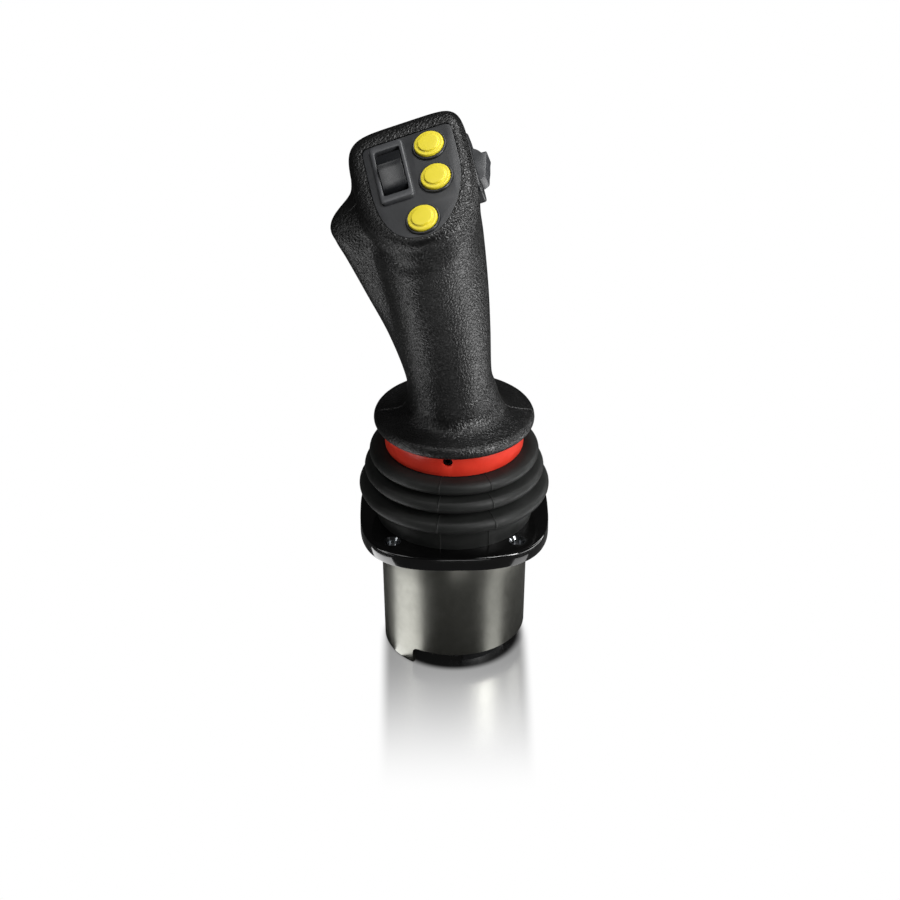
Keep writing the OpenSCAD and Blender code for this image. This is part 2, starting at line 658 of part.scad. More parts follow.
module button_spring(p) {
    color("#c9ccd0") head_frame() translate([p.x, p.y, -7.9]) coil(3.6, 0.35, 6.8, 4);
}
module button_cap_1() {
    button_cap(caps[0]);
}
module button_cap_2() {
    button_cap(caps[1]);
}
module button_cap_3() {
    button_cap(caps[2]);
}
module button_spring_1() {
    button_spring(caps[0]);
}
module button_spring_2() {
    button_spring(caps[1]);
}
module button_spring_3() {
    button_spring(caps[2]);
}

// A rocker in its bezel: z points out of the panel, the swing axis lies along x
window_len = 25.2;
module rocker_bezel(w, len_out, box_w, box_l, inner_w, top, low) {
    difference() {
        union() {
            rounded_box(w, len_out, plate_top, top, 2.6);
            rounded_box(box_w, box_l, low, plate_top + 0.1, 1);
        }
        rounded_box(inner_w, window_len, low + 1.2, top + 1, 0.8);
        translate([0, 0, barrel_z]) cyl_x(1.01, -20, 20);
    }
}
// The slope behind a rocker's ridge ends short of the window by this much, to clear it as the rocker swings
slope_c = 1.1;
module rocker(w, lift, slope = []) {
    half = w / 2;
    top = barrel_r + lift;
    translate([0, 0, barrel_z]) difference() {
        union() {
            intersection() {
                cyl_x(barrel_r, -half, half);
                translate([-half, -barrel_r - 1, -0.5]) cube([w, 2 * barrel_r + 2, barrel_r + 2]);
            }
            cyl_x(2.4, -half, half);
            translate([half, 0, 0]) rotate([0, -90, 0]) linear_extrude(w)
                polygon(concat([[2, 1.5]], slope, [[top, 3.6], [top - 0.4, 1.8], [top - 1.6, -3.5],
                    [barrel_r - 1.6, -9.6], [4.6, -10.6], [1.5, -8]]));
        }
        cyl_x(1.04, -20, 20);
    }
}
module face_bezel() {
    color("#3d4043") head_frame() translate([bezel_at.x, bezel_at.y, 0])
        rocker_bezel(bezel_w, bezel_len, box_w, box_len, 11.6, 1.5, -10.6);
}
module face_rocker() {
    color("#1d1f21") head_frame() translate([bezel_at.x, bezel_at.y, 0]) rocker(11.1, 1.2, [[1, window_len / 2 - slope_c - 1.1],
        [6.4, window_len / 2 - slope_c - 0.4], [7.2, window_len / 2 - slope_c - 0.6], [barrel_r - 0.1, 4.3]]);
}
module face_pin() {
    color("silver") head_frame() translate([bezel_at.x, bezel_at.y, barrel_z]) cyl_x(1, -6.9, 6.9);
}
module side_bezel() {
    color("#26282b") side_frame() difference() {
        rounded_box(side_w, side_len, -8.6, 0.9, 3.4);
        rounded_box(8.6, window_len, -7.4, 3, 0.8);
        translate([0, 0, side_z]) cyl_x(1.01, -20, 20);
    }
}
side_z = -3.9;
module side_rocker() {
    color("#45484b") side_frame() translate([0, 0, side_z - barrel_z]) rocker(8.1, 1.6);
}
module side_pin() {
    color("silver") side_frame() translate([0, 0, side_z]) cyl_x(1, -5.6, 5.6);
}

housing();
flange();
flange_screws();
gimbal_carrier();
carrier_bushings();
gate_plate();
tie_screws();
lower_spacers();
upper_spacers();
sensor_board();
hall_sensor();
base_plate();
connector_shroud();
connector_body();
connector_pins();
terminal_tabs();
bellows_clamp();
bellows_lower();
bellows_upper();
gimbal_ring();
gimbal_pins();
ring_bushings();
pitch_springs();
roll_springs();
lever_shaft();
hub_pins();
magnet();
collar();
collar_set_screw();
core_screws();
shell_screws();
grip_core();
cross_pin();
grip_front();
grip_rear();
grip_screws();
face_plate();
button_bezels();
button_switches();
button_cap_1();
button_cap_2();
button_cap_3();
button_spring_1();
button_spring_2();
button_spring_3();
face_bezel();
face_rocker();
face_pin();
side_bezel();
side_rocker();
side_pin();
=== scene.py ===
"""Looks of a two-axis industrial hand controller: grip, buttons, rockers, bellows, flange and can."""

from __future__ import annotations

import logging
import math
from dataclasses import dataclass
from enum import Enum
from typing import Callable, Sequence

import bmesh
import bpy
from mathutils import Matrix, Vector


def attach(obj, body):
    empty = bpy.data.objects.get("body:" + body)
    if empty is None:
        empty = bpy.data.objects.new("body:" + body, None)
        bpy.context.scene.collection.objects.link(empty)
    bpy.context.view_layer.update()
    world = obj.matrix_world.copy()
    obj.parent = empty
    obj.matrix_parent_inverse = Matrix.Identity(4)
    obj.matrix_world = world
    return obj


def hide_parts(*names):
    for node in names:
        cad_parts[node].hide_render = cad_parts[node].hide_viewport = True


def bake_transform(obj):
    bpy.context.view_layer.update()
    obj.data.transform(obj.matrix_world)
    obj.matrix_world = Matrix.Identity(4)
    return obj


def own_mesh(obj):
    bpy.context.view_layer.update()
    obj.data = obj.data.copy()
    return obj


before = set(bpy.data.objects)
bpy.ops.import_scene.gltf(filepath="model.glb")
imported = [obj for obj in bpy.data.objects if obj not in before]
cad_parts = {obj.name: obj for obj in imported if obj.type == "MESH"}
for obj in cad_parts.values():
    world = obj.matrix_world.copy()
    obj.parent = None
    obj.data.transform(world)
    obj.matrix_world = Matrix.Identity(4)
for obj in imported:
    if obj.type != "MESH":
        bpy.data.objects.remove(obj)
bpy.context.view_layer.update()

logging.basicConfig(level=logging.INFO, format="%(name)s: %(message)s")
LOG = logging.getLogger("joystick")

MM = 0.001
TURN = 2 * math.pi
OUTLINE_STEPS = 240
MERGE = 1e-5
MOULD_SEAMS = (-65.0, -101.0)
Point = tuple[float, float]
Four = tuple[float, float, float, float]
Socket = bpy.types.NodeSocket
Value = float | str | bool | tuple[float, ...] | Socket
Links = dict[str | int, Value]


class Body(Enum):
    """The rigid bodies that a piece can ride on."""

    BASE = "base"
    GIMBAL = "gimbal"
    LEVER = "lever"
    BUTTON_1 = "button_1"
    BUTTON_2 = "button_2"
    BUTTON_3 = "button_3"
    FACE_ROCKER = "face_rocker"
    SIDE_ROCKER = "side_rocker"


# ---- colour and node helpers ----


def linear(code: str) -> Four:
    """Turns an sRGB hex colour into linear light.

    Args:
        code: The colour as "#rrggbb".

    Returns:
        Linear red, green, blue and an alpha of 1.
    """
    parts = [int(code[i : i + 2], 16) / 255 for i in (1, 3, 5)]
    r, g, b = (c / 12.92 if c <= 0.04045 else ((c + 0.055) / 1.055) ** 2.4 for c in parts)
    return r, g, b, 1.0


def per_metre(size_mm: float) -> float:
    """Gives the texture scale at which one cell is size_mm across in object coordinates."""
    return 1000.0 / size_mm


def add_node(
    tree: bpy.types.NodeTree,
    kind: str,
    settings: dict[str, object] | None = None,
    links: Links | None = None,
) -> bpy.types.Node:
    """Adds one node with its settings, and sets or links its inputs.

    Args:
        tree: The node tree that gets the node.
        kind: The node's type name.
        settings: Attributes of the node itself.
        links: Inputs by name or index, each given a value or linked from a socket.

    Returns:
        The new node.
    """
    node = tree.nodes.new(kind)
    for key, value in (settings or {}).items():
        setattr(node, key, value)
    for key, value in (links or {}).items():
        if isinstance(value, bpy.types.NodeSocket):
            tree.links.new(value, node.inputs[key])
        else:
            node.inputs[key].default_value = value
    return node


def ramp(tree: bpy.types.NodeTree, factor: Socket, stops: Sequence[tuple[float, str]]) -> Socket:
    """Adds a colour ramp between hex colours.

    Args:
        tree: The node tree.
        factor: What drives the ramp.
        stops: Pairs of place and hex colour.

    Returns:
        The ramp's colour.
    """
    node = add_node(tree, "ShaderNodeValToRGB", links={"Fac": factor})
    while len(node.color_ramp.elements) < len(stops):
        node.color_ramp.elements.new(0.5)
    for element, (place, code) in zip(node.color_ramp.elements, stops):
        element.position = place
        element.color = linear(code)
    return node.outputs["Color"]


def object_place(tree: bpy.types.NodeTree) -> Socket:
    """Gives the place in object coordinates."""
    return add_node(tree, "ShaderNodeTexCoord").outputs["Object"]


def axes_of(tree: bpy.types.NodeTree, vector: Socket) -> bpy.types.NodeOutputs:
    """Splits a vector into its X, Y and Z."""
    return add_node(tree, "ShaderNodeSeparateXYZ", links={0: vector}).outputs


def maths(tree: bpy.types.NodeTree, operation: str, first: Value, second: Value | None = None) -> Socket:
    """Adds one step of arithmetic.

    Args:
        tree: The node tree.
        operation: The kind of step.
        first: Its first value.
        second: Its second value, where it takes one.

    Returns:
        The result.
    """
    links: Links = {0: first}
    if second is not None:
        links[1] = second
    return add_node(tree, "ShaderNodeMath", {"operation": operation}, links).outputs[0]


def mixed_shader(
    tree: bpy.types.NodeTree, share: Socket, first: bpy.types.Node, second: bpy.types.Node
) -> bpy.types.Node:
    """Mixes two shaders: the first where the share is 0, the second where it is 1."""
    links: Links = {"Fac": share, 1: first.outputs[0], 2: second.outputs[0]}
    return add_node(tree, "ShaderNodeMixShader", links=links)


def noise(
    tree: bpy.types.NodeTree, size_mm: float, detail: float = 3.0, stretch: Vector | None = None
) -> Socket:
    """Adds noise in object coordinates.

    Args:
        tree: The node tree.
        size_mm: Size of one blotch.
        detail: Octaves of detail.
        stretch: How much each axis is scaled first.

    Returns:
        The noise's factor.
    """
    where = object_place(tree)
    if stretch is not None:
        scaled: Links = {"Vector": where, "Scale": tuple(stretch)}
        where = add_node(tree, "ShaderNodeMapping", links=scaled).outputs["Vector"]
    links: Links = {"Vector": where, "Scale": per_metre(size_mm), "Detail": detail}
    return add_node(tree, "ShaderNodeTexNoise", links=links).outputs["Fac"]


def remap(
    tree: bpy.types.NodeTree,
    value: Socket,
    low: float,
    high: float,
    span: Point = (0.3, 0.7),
    easing: str = "LINEAR",
) -> Socket:
    """Maps a factor from span to the range low to high.

    Args:
        tree: The node tree.
        value: The factor.
        low: Result at the span's start.
        high: Result at the span's end.
        span: The part of the factor's range that is used.
        easing: How the result runs from one end to the other.

    Returns:
        The mapped value.
    """
    links: Links = {"Value": value, 1: span[0], 2: span[1], 3: low, 4: high}
    return add_node(tree, "ShaderNodeMapRange", {"interpolation_type": easing}, links).outputs["Result"]


def smooth(tree: bpy.types.NodeTree, value: Socket, low: float, high: float, span: Point) -> Socket:
    """Maps a value like remap, but eases in and out of the span."""
    return remap(tree, value, low, high, span, "SMOOTHSTEP")


def raised(
    tree: bpy.types.NodeTree, height: Socket, depth_mm: float, strength: float, under: Socket | None = None
) -> Socket:
    """Adds a bump whose full height is depth_mm.

    Args:
        tree: The node tree.
        height: The relief, from 0 to 1.
        depth_mm: How deep the relief is.
        strength: How much of it is used.
        under: The normal of a relief that this one lies on.

    Returns:
        The bumped normal.
    """
    links: Links = {"Height": height, "Distance": depth_mm * MM, "Strength": strength}
    if under is not None:
        links["Normal"] = under
    return add_node(tree, "ShaderNodeBump", links=links).outputs["Normal"]


# ---- finishes ----


@dataclass(frozen=True)
class Finish:
    """One finish: how a material was made, and what that does to its surface."""

    name: str
    low: str
    high: str
    slot: str
    roughness: Point = (0.4, 0.5)
    metallic: float = 0.0
    ior: float = 1.5
    coat: float = 0.0

    def relief(self, tree: bpy.types.NodeTree) -> Socket | None:
        """Gives the surface's normal, or None where it is left smooth."""
        return raised(tree, noise(tree, 0.5), 0.02, 0.25)

    def tint(self, tree: bpy.types.NodeTree) -> Socket:
        """Gives the surface's colour, with the slight blotches of the real material."""
        return ramp(tree, noise(tree, 6.0), [(0.3, self.low), (0.7, self.high)])

    def make(self) -> bpy.types.Material:
        """Builds the material once and returns it after that."""
        known = bpy.data.materials.get(self.name)
        if known is not None:
            return known
        material = bpy.data.materials.new(self.name)
        material.use_nodes = True
        tree = material.node_tree
        shader = tree.nodes["Principled BSDF"]
        shader.inputs["Metallic"].default_value = self.metallic
        shader.inputs["Coat Weight"].default_value = self.coat
        shader.inputs["Coat Roughness"].default_value = 0.08
        if self.metallic < 0.5:
            shader.inputs["IOR"].default_value = self.ior
        tree.links.new(self.tint(tree), shader.inputs["Base Color"])
        rough = remap(tree, noise(tree, 2.5), *self.roughness)
        tree.links.new(rough, shader.inputs["Roughness"])
        normal = self.relief(tree)
        if normal is not None:
            tree.links.new(normal, shader.inputs["Normal"])
        return material


@dataclass(frozen=True)
class LeatherGrainNylon(Finish):
    """Glass-filled nylon moulded in a tool etched with leather grain: glossy pebbles between dull creases."""

    cell_mm: float = 1.6
    depth_mm: float = 0.16
    bend_mm: float = 1.6
    bend_size_mm: float = 4.0
    grit_share: float = 0.55

    def cells(self, tree: bpy.types.NodeTree, where: Socket, size_mm: float, edge: float) -> Socket:
        """Gives cells that rise from their creases.

        Args:
            tree: The node tree.
            where: The place, already bent.
            size_mm: Size of one cell.
            edge: How far in from the crease a cell is at its full height, as a share of its size.

        Returns:
            The relief, from 0 to 1.
        """
        settings = {"feature": "DISTANCE_TO_EDGE", "voronoi_dimensions": "3D"}
        links: Links = {"Vector": where, "Scale": per_metre(size_mm)}
        creases = add_node(tree, "ShaderNodeTexVoronoi", settings, links).outputs["Distance"]
        return remap(tree, creases, 0.0, 1.0, (0.0, edge))

    def relief(self, tree: bpy.types.NodeTree) -> Socket:
        """Gives pebbles of about 1.6 mm, bent as hide is, with smaller ones on them."""
        where = object_place(tree)
        links: Links = {"Vector": where, "Scale": per_metre(self.bend_size_mm), "Detail": 2.0}
        bend = add_node(tree, "ShaderNodeTexNoise", links=links).outputs["Color"]
        links = {0: bend, "Scale": self.bend_mm * MM}
        shift = add_node(tree, "ShaderNodeVectorMath", {"operation": "SCALE"}, links).outputs[0]
        moved = add_node(tree, "ShaderNodeVectorMath", {"operation": "ADD"}, {0: where, 1: shift}).outputs[0]
        pebble = self.cells(tree, moved, self.cell_mm, 0.28)
        grit = self.cells(tree, moved, self.cell_mm * self.grit_share, 0.3)
        first = raised(tree, pebble, self.depth_mm, 0.75)
        return raised(tree, grit, self.depth_mm * 0.25, 0.4, first)


@dataclass(frozen=True)
class SatinMoulding(Finish):
    """ABS moulded in a finely spark-eroded tool: an even satin with a fine tooth."""

    grit_mm: float = 0.35

    def relief(self, tree: bpy.types.NodeTree) -> Socket:
        """Gives the fine tooth of the tool, drawn at 0.35 mm so that it shows."""
        return raised(tree, noise(tree, self.grit_mm, 1.0), 0.02, 0.35)


@dataclass(frozen=True)
class MouldedRubber(Finish):
    """Black EPDM rubber from a compression mould: matte, with a faint bloom and flow marks."""

    seams: tuple[float, ...] = ()

    def tint(self, tree: bpy.types.NodeTree) -> Socket:
        """Gives the grey bloom that lies in patches of about 9 mm."""
        return ramp(tree, noise(tree, 9.0, 5.0), [(0.3, self.low), (0.72, self.high)])

    def relief(self, tree: bpy.types.NodeTree) -> Socket:
        """Gives a fine orange peel over a coarser unevenness, and the ridges left by the mould's halves."""
        normal = raised(tree, noise(tree, 3.0), 0.06, 0.2)
        axes = axes_of(tree, object_place(tree))
        heading = maths(tree, "ARCTAN2", axes["Y"], axes["X"])
        for seam in self.seams:
            apart = maths(tree, "ABSOLUTE", maths(tree, "SUBTRACT", heading, math.radians(seam)))
            ridge = smooth(tree, apart, 1.0, 0.0, (0.002, 0.011))
            normal = raised(tree, ridge, 0.4, 0.8, normal)
        return raised(tree, noise(tree, 0.4, 2.0), 0.03, 0.35, normal)


@dataclass(frozen=True)
class GlossMoulding(Finish):
    """Polished tool surface: hard, clean highlights with the slightest waviness."""

    def relief(self, tree: bpy.types.NodeTree) -> Socket:
        """Gives a waviness of 5 mm that only bends the highlights."""
        return raised(tree, noise(tree, 5.0, 1.0), 0.02, 0.12)


@dataclass(frozen=True)
class DrawnCan(Finish):
    """Dark anodised aluminium: satin metal whose fine marks run round the can."""

    def relief(self, tree: bpy.types.NodeTree) -> Socket:
        """Gives fine blasted grit with faint rings round the can."""
        rings = noise(tree, 1.2, 2.0, Vector((0.04, 0.04, 1.0)))
        blasted = raised(tree, noise(tree, 0.3, 2.0), 0.02, 0.3)
        return raised(tree, rings, 0.02, 0.1, blasted)


@dataclass(frozen=True)
class TurnedMetal(Finish):
    """Turned or plated metal: short machining marks in the highlights."""

    mark_mm: float = 0.25

    def relief(self, tree: bpy.types.NodeTree) -> Socket:
        """Gives machining marks of a quarter of a millimetre."""
        return raised(tree, noise(tree, self.mark_mm, 1.0, Vector((0.2, 0.2, 1.0))), 0.01, 0.3)


@dataclass(frozen=True)
class BoardLacquer(Finish):
    """Green solder mask over copper tracks: paler lines under a clear lacquer."""

    def tint(self, tree: bpy.types.NodeTree) -> Socket:
        """Gives copper tracks about 1 mm apart as paler bands."""
        links: Links = {"Vector": object_place(tree), "Scale": per_metre(1.0) / 6.0, "Distortion": 2.0}
        bands = add_node(tree, "ShaderNodeTexWave", {"wave_type": "BANDS"}, links).outputs["Fac"]
        return ramp(tree, bands, [(0.45, self.low), (0.55, self.high)])


GRIP = LeatherGrainNylon("leather_grain_nylon", "#070707", "#0c0c0c", "grip_leather", (0.33, 0.41), ior=1.48)
PLATE = SatinMoulding("satin_abs_dark_grey", "#232426", "#28292b", "plate_grey", (0.40, 0.48))
BEZEL_GREY = SatinMoulding("satin_abs_mid_grey", "#3a3b3d", "#404143", "bezel_grey", (0.34, 0.42))
BEZEL_BLACK = SatinMoulding("satin_abs_black", "#151617", "#1b1c1e", "bezel_black", (0.36, 0.44))
ROCKER = GlossMoulding("semi_gloss_abs_black", "#161719", "#1a1b1d", "rocker_black", (0.26, 0.30))
# Painted highlight: a lighter grey copy of the black rocker plastic, laid on the side paddle for the lit band
# across it.
PAINTED_HIGHLIGHT_ROCKER = SatinMoulding("satin_abs_black_painted_highlight", "#303133", "#37383a", "rocker_grey", (0.32, 0.4))
CAP = GlossMoulding("gloss_abs_yellow", "#d8c72c", "#dccb33", "cap_yellow", (0.34, 0.42))
COLLAR = GlossMoulding("semi_gloss_acetal_red", "#dc3322", "#e83e2a", "collar_red", (0.30, 0.40))
RUBBER = MouldedRubber(
    "moulded_epdm_rubber", "#171817", "#1f201f", "bellows_rubber", (0.46, 0.58), ior=1.34, seams=MOULD_SEAMS
)
FLANGE = GlossMoulding("gloss_black_die_casting", "#050505", "#090909", "flange_coat", (0.10, 0.16), coat=0.6)
CAN = DrawnCan("dark_anodised_aluminium", "#74746e", "#7a7a74", "can_coat", (0.34, 0.42), metallic=1.0)
STEEL = TurnedMetal("zinc_plated_steel", "#b9bcc0", "#d2d4d6", "steel", (0.18, 0.3), metallic=1.0)
SINK = TurnedMetal("bright_cut_countersink", "#8d9093", "#a2a5a8", "steel", (0.14, 0.24), metallic=1.0)
ALLOY = TurnedMetal(
    "machined_aluminium", "#a9acb0", "#bcbfc2", "alloy", (0.26, 0.38), metallic=1.0, mark_mm=0.5
)
BRONZE = TurnedMetal("sintered_bronze", "#a37c45", "#b98f55", "bronze", (0.4, 0.52), metallic=1.0)
GOLD = TurnedMetal("gold_plated_contact", "#d8b04a", "#e8c465", "contact", (0.15, 0.22), metallic=1.0)
NICKEL = TurnedMetal("nickel_plated_magnet", "#c4c3bd", "#d6d5cf", "magnet", (0.15, 0.22), metallic=1.0)
BLACKENED = TurnedMetal("black_oxide_steel", "#141415", "#1c1c1d", "screw_black", (0.34, 0.45), metallic=1.0)
BOARD = BoardLacquer("solder_mask_green", "#11532a", "#1d6b38", "board", (0.22, 0.3))
NYLON = SatinMoulding("black_glass_nylon", "#18191a", "#202122", "black_nylon", (0.42, 0.52))

NODE_FINISH: dict[str, Finish] = {
    "flange_screws": STEEL, "gimbal_carrier": ALLOY, "carrier_bushings": BRONZE, "gate_plate": ALLOY,
    "tie_screws": STEEL, "lower_spacers": ALLOY, "upper_spacers": ALLOY, "sensor_board": BOARD,
    "hall_sensor": NYLON, "base_plate": NYLON, "connector_shroud": NYLON, "connector_body": NYLON,
    "connector_pins": GOLD, "terminal_tabs": SINK, "bellows_clamp": NYLON, "gimbal_ring": ALLOY,
    "gimbal_pins": STEEL, "ring_bushings": BRONZE, "pitch_springs": STEEL, "roll_springs": STEEL,
    "lever_shaft": ALLOY, "hub_pins": STEEL, "magnet": NICKEL, "collar_set_screw": BLACKENED,
    "core_screws": STEEL, "shell_screws": STEEL, "grip_core": ALLOY, "cross_pin": STEEL,
    "grip_screws": BLACKENED, "button_switches": NYLON, "face_pin": STEEL, "side_pin": STEEL,
}


# ---- mesh helpers, all in millimetres until a piece is finished ----


def arc(centre: Point, radius: float, start: float, end: float, count: int) -> list[Point]:
    """Gives points along an arc, angles in degrees."""
    steps = [math.radians(start + (end - start) * i / count) for i in range(count + 1)]
    return [(centre[0] + radius * math.cos(a), centre[1] + radius * math.sin(a)) for a in steps]


def eased(four: Sequence[float], t: float) -> float:
    """Gives the value a share t of the way between the middle two of four values, on a Catmull-Rom curve."""
    a, b, c, d = four
    bend = (2 * a - 5 * b + 4 * c - d) * t * t + (3 * b - a - 3 * c + d) * t**3
    return 0.5 * (2 * b + (c - a) * t + bend)


def neighbours(rows: Sequence, k: int) -> list:
    """Gives the four entries round the span from k to the next, with the ends repeated."""
    last = len(rows) - 1
    return [rows[min(max(i, 0), last)] for i in (k - 1, k, k + 1, k + 2)]


def headings() -> list[float]:
    """Gives the directions of an outline's points, in degrees."""
    return [360 / OUTLINE_STEPS * i for i in range(OUTLINE_STEPS)]


def drawn_in(path: Sequence[Point], thick: float) -> list[Point]:
    """Offsets a path to its left by a thickness."""
    out = []
    last = len(path) - 1
    for i, (x, z) in enumerate(path):
        d = (Vector(path[min(i + 1, last)]) - Vector(path[max(i - 1, 0)])).normalized()
        out.append((x - thick * d.y, z + thick * d.x))
    return out


def rounded_rectangle(width: float, length: float, radius: float, count: int = 8) -> list[Point]:
    """Gives a rounded rectangle's outline, anticlockwise from the right side."""
    out: list[Point] = []
    x, y = width / 2 - radius, length / 2 - radius
    for cx, cy, a in ((x, y, 0), (-x, y, 90), (-x, -y, 180), (x, -y, 270)):
        out += arc((cx, cy), radius, a, a + 90, count)
    return out


def open_edges(bm: bmesh.types.BMesh) -> list[bmesh.types.BMEdge]:
    """Gives the edges that only one face uses."""
    return [edge for edge in bm.edges if len(edge.link_faces) == 1]


def grid(columns: int, rows: int, corner: Callable[[int, int], Sequence[float]]) -> bmesh.types.BMesh:
    """Makes a grid of faces whose corners lie where a function puts them.

    Args:
        columns: Number of corners across.
        rows: Number of corners up.
        corner: Gives the place of one column's and row's corner.

    Returns:
        The mesh.
    """
    bm = bmesh.new()
    made = bmesh.ops.create_grid(bm, x_segments=columns - 1, y_segments=rows - 1, size=1.0)
    for vert in made["verts"]:
        column = round((vert.co.x + 1) / 2 * (columns - 1))
        row = round((vert.co.y + 1) / 2 * (rows - 1))
        vert.co = corner(column, row)
    return bm


def lofted(loops: Sequence[Sequence[Vector]], wrap: bool = False, caps: bool = False) -> bmesh.types.BMesh:
    """Lays a grid over a row of closed loops.

    Args:
        loops: Loops of the same number of points.
        wrap: Whether the last loop meets the first.
        caps: Whether the first and last loops are closed with a face.

    Returns:
        The mesh.
    """
    rows = [*loops, loops[0]] if wrap else list(loops)
    across = len(loops[0])
    bm = grid(across + 1, len(rows), lambda column, row: rows[row][column % across])
    bmesh.ops.remove_doubles(bm, verts=bm.verts, dist=MERGE)
    if caps:
        bmesh.ops.holes_fill(bm, edges=open_edges(bm))
    return bm


def lathed(profile: Sequence[Point], steps: int, closed: bool = True) -> bmesh.types.BMesh:
    """Spins a profile of radius and height once round Z.

    Args:
        profile: The profile's points.
        steps: Steps in the turn.
        closed: Whether the profile's last point meets its first, as on a ring.

    Returns:
        The mesh.
    """
    bm = bmesh.new()
    verts = [bm.verts.new((r, 0.0, z)) for r, z in profile]
    edges = [bm.edges.new(pair) for pair in zip(verts, verts[1:])]
    if closed:
        edges.append(bm.edges.new((verts[-1], verts[0])))
    whole = {"axis": (0, 0, 1), "cent": (0, 0, 0), "angle": TURN, "steps": steps, "use_merge": True}
    bmesh.ops.spin(bm, geom=verts + edges, **whole)
    bmesh.ops.remove_doubles(bm, verts=bm.verts, dist=MERGE)
    return bm


def extruded(corners: Sequence[Sequence[float]], along: Sequence[float], edge: float) -> bmesh.types.BMesh:
    """Extrudes a flat face and rounds the edges of its two ends.

    Args:
        corners: The face's corners.
        along: How far it is extruded on each axis.
        edge: Radius of the rounded edges, or 0.

    Returns:
        The mesh.
    """
    bm = bmesh.new()
    base = bm.faces.new([bm.verts.new(corner) for corner in corners])
    grown = bmesh.ops.extrude_face_region(bm, geom=[base])
    moved = [v for v in grown["geom"] if isinstance(v, bmesh.types.BMVert)]
    bmesh.ops.translate(bm, vec=along, verts=moved)
    if edge > 0:
        way = Vector(along)
        rims = [e for e in bm.edges if abs((e.verts[0].co - e.verts[1].co).dot(way)) < MERGE]
        bmesh.ops.bevel(bm, geom=rims, offset=edge, segments=3, profile=0.5, affect="EDGES", material=-1)
    return bm


def prism(outline: Sequence[Point], low: float, high: float, edge: float = 0.0) -> bmesh.types.BMesh:
    """Extrudes an outline from one height up to another, and rounds its top and bottom edges."""
    return extruded([(x, y, low) for x, y in outline], (0, 0, high - low), edge)


def as_object(bm: bmesh.types.BMesh, name: str, place: Matrix) -> bpy.types.Object:
    """Turns a mesh in millimetres into an object in metres, with its place in its mesh."""
    bmesh.ops.transform(bm, matrix=Matrix.Scale(MM, 4) @ place, verts=bm.verts)
    bmesh.ops.recalc_face_normals(bm, faces=bm.faces)
    mesh = bpy.data.meshes.new(name)
    bm.to_mesh(mesh)
    bm.free()
    obj = bpy.data.objects.new(name, mesh)
    bpy.context.scene.collection.objects.link(obj)
    return obj


def drill(radius: float, depth: float, place: Matrix, segments: int = 48) -> bpy.types.Object:
    """Gives a round cutter whose middle lies at a place."""
    bm = bmesh.new()
    bmesh.ops.create_cone(bm, cap_ends=True, segments=segments, radius1=radius, radius2=radius, depth=depth)
    return as_object(bm, "cut_round", place)


def cut_away(obj: bpy.types.Object, cutters: Sequence[bpy.types.Object]) -> None:
    """Cuts closed shapes out of an object, and removes them.

    Args:
        obj: The object that is cut.
        cutters: The closed shapes.
    """
    for tool in cutters:
        step = obj.modifiers.new("cut", "BOOLEAN")
        step.operation = "DIFFERENCE"
        step.solver = "EXACT"
        step.object = tool
    bpy.context.view_layer.update()
    graph = bpy.context.evaluated_depsgraph_get()
    mesh = bpy.data.meshes.new_from_object(obj.evaluated_get(graph))
    obj.modifiers.clear()
    obj.data = mesh
    for tool in cutters:
        bpy.data.objects.remove(tool)


def shade(obj: bpy.types.Object, sharp_deg: float = 32.0) -> None:
    """Smooths an object's faces and keeps edges above an angle sharp."""
    bm = bmesh.new()
    bm.from_mesh(obj.data)
    bmesh.ops.remove_doubles(bm, verts=bm.verts, dist=1e-7)
    bmesh.ops.recalc_face_normals(bm, faces=bm.faces)
    for face in bm.faces:
        face.smooth = True
    for edge in bm.edges:
        edge.smooth = len(edge.link_faces) == 2 and edge.calc_face_angle(0.0) < math.radians(sharp_deg)
    bm.to_mesh(obj.data)
    bm.free()


def dress(
    obj: bpy.types.Object, finish: Finish, body: Body | None, *nodes: str, sharp_deg: float = 32.0
) -> bpy.types.Object:
    """Shades a piece, gives it its finish and its body, and hides what it stands for.

    Args:
        obj: The piece.
        finish: Its finish.
        body: The body it rides on, or None for a piece that is attached to no body.
        nodes: The solids that it stands for.
        sharp_deg: The angle above which an edge stays sharp.

    Returns:
        The piece.
    """
    shade(obj, sharp_deg)
    obj.data.materials.clear()
    obj.data.materials.append(finish.make())
    if body is not None:
        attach(obj, body.value)
    if nodes:
        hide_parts(*nodes)
    LOG.info("%s: %d faces", obj.name, len(obj.data.polygons))
    return obj


# ---- the frames that the grip's pieces share ----


HEAD_LEAN = (11.54, 24.45, -19.92)


def leaned(share: float) -> Matrix:
    """Gives the turn of a grip section, from upright at 0 to the head's own at 1."""
    yaw, pitch, roll = (math.radians(a * share) for a in HEAD_LEAN)
    return Matrix.Rotation(yaw, 4, "Z") @ Matrix.Rotation(pitch, 4, "X") @ Matrix.Rotation(roll, 4, "Y")


HEAD = Matrix.Translation((-27.0, 2.0, 179.0)) @ leaned(1.0)
SIDE = HEAD @ Matrix.Translation((35.6, -1.0, -10.0)) @ Matrix.Rotation(math.pi / 2, 4, "Y")
UPRIGHT = Matrix.Identity(4)


def quartered(angle: float, reach: Sequence[float], powers: Sequence[float]) -> float:
    """Gives the radius of an outline whose four quarters differ.

    Args:
        angle: The direction, in degrees, anticlockwise from the right.
        reach: How far it goes right, left, front and back.
        powers: Squareness at back right, back left, front left and front right.

    Returns:
        The radius in millimetres.
    """
    c, s = math.cos(math.radians(angle)), math.sin(math.radians(angle))
    a = reach[0] if c >= 0 else reach[1]
    b = reach[3] if s >= 0 else reach[2]
    if s >= 0:
        q = powers[0] if c >= 0 else powers[1]
    else:
        q = powers[3] if c >= 0 else powers[2]
    return ((abs(c) / a) ** q + (abs(s) / b) ** q) ** (-1 / q)


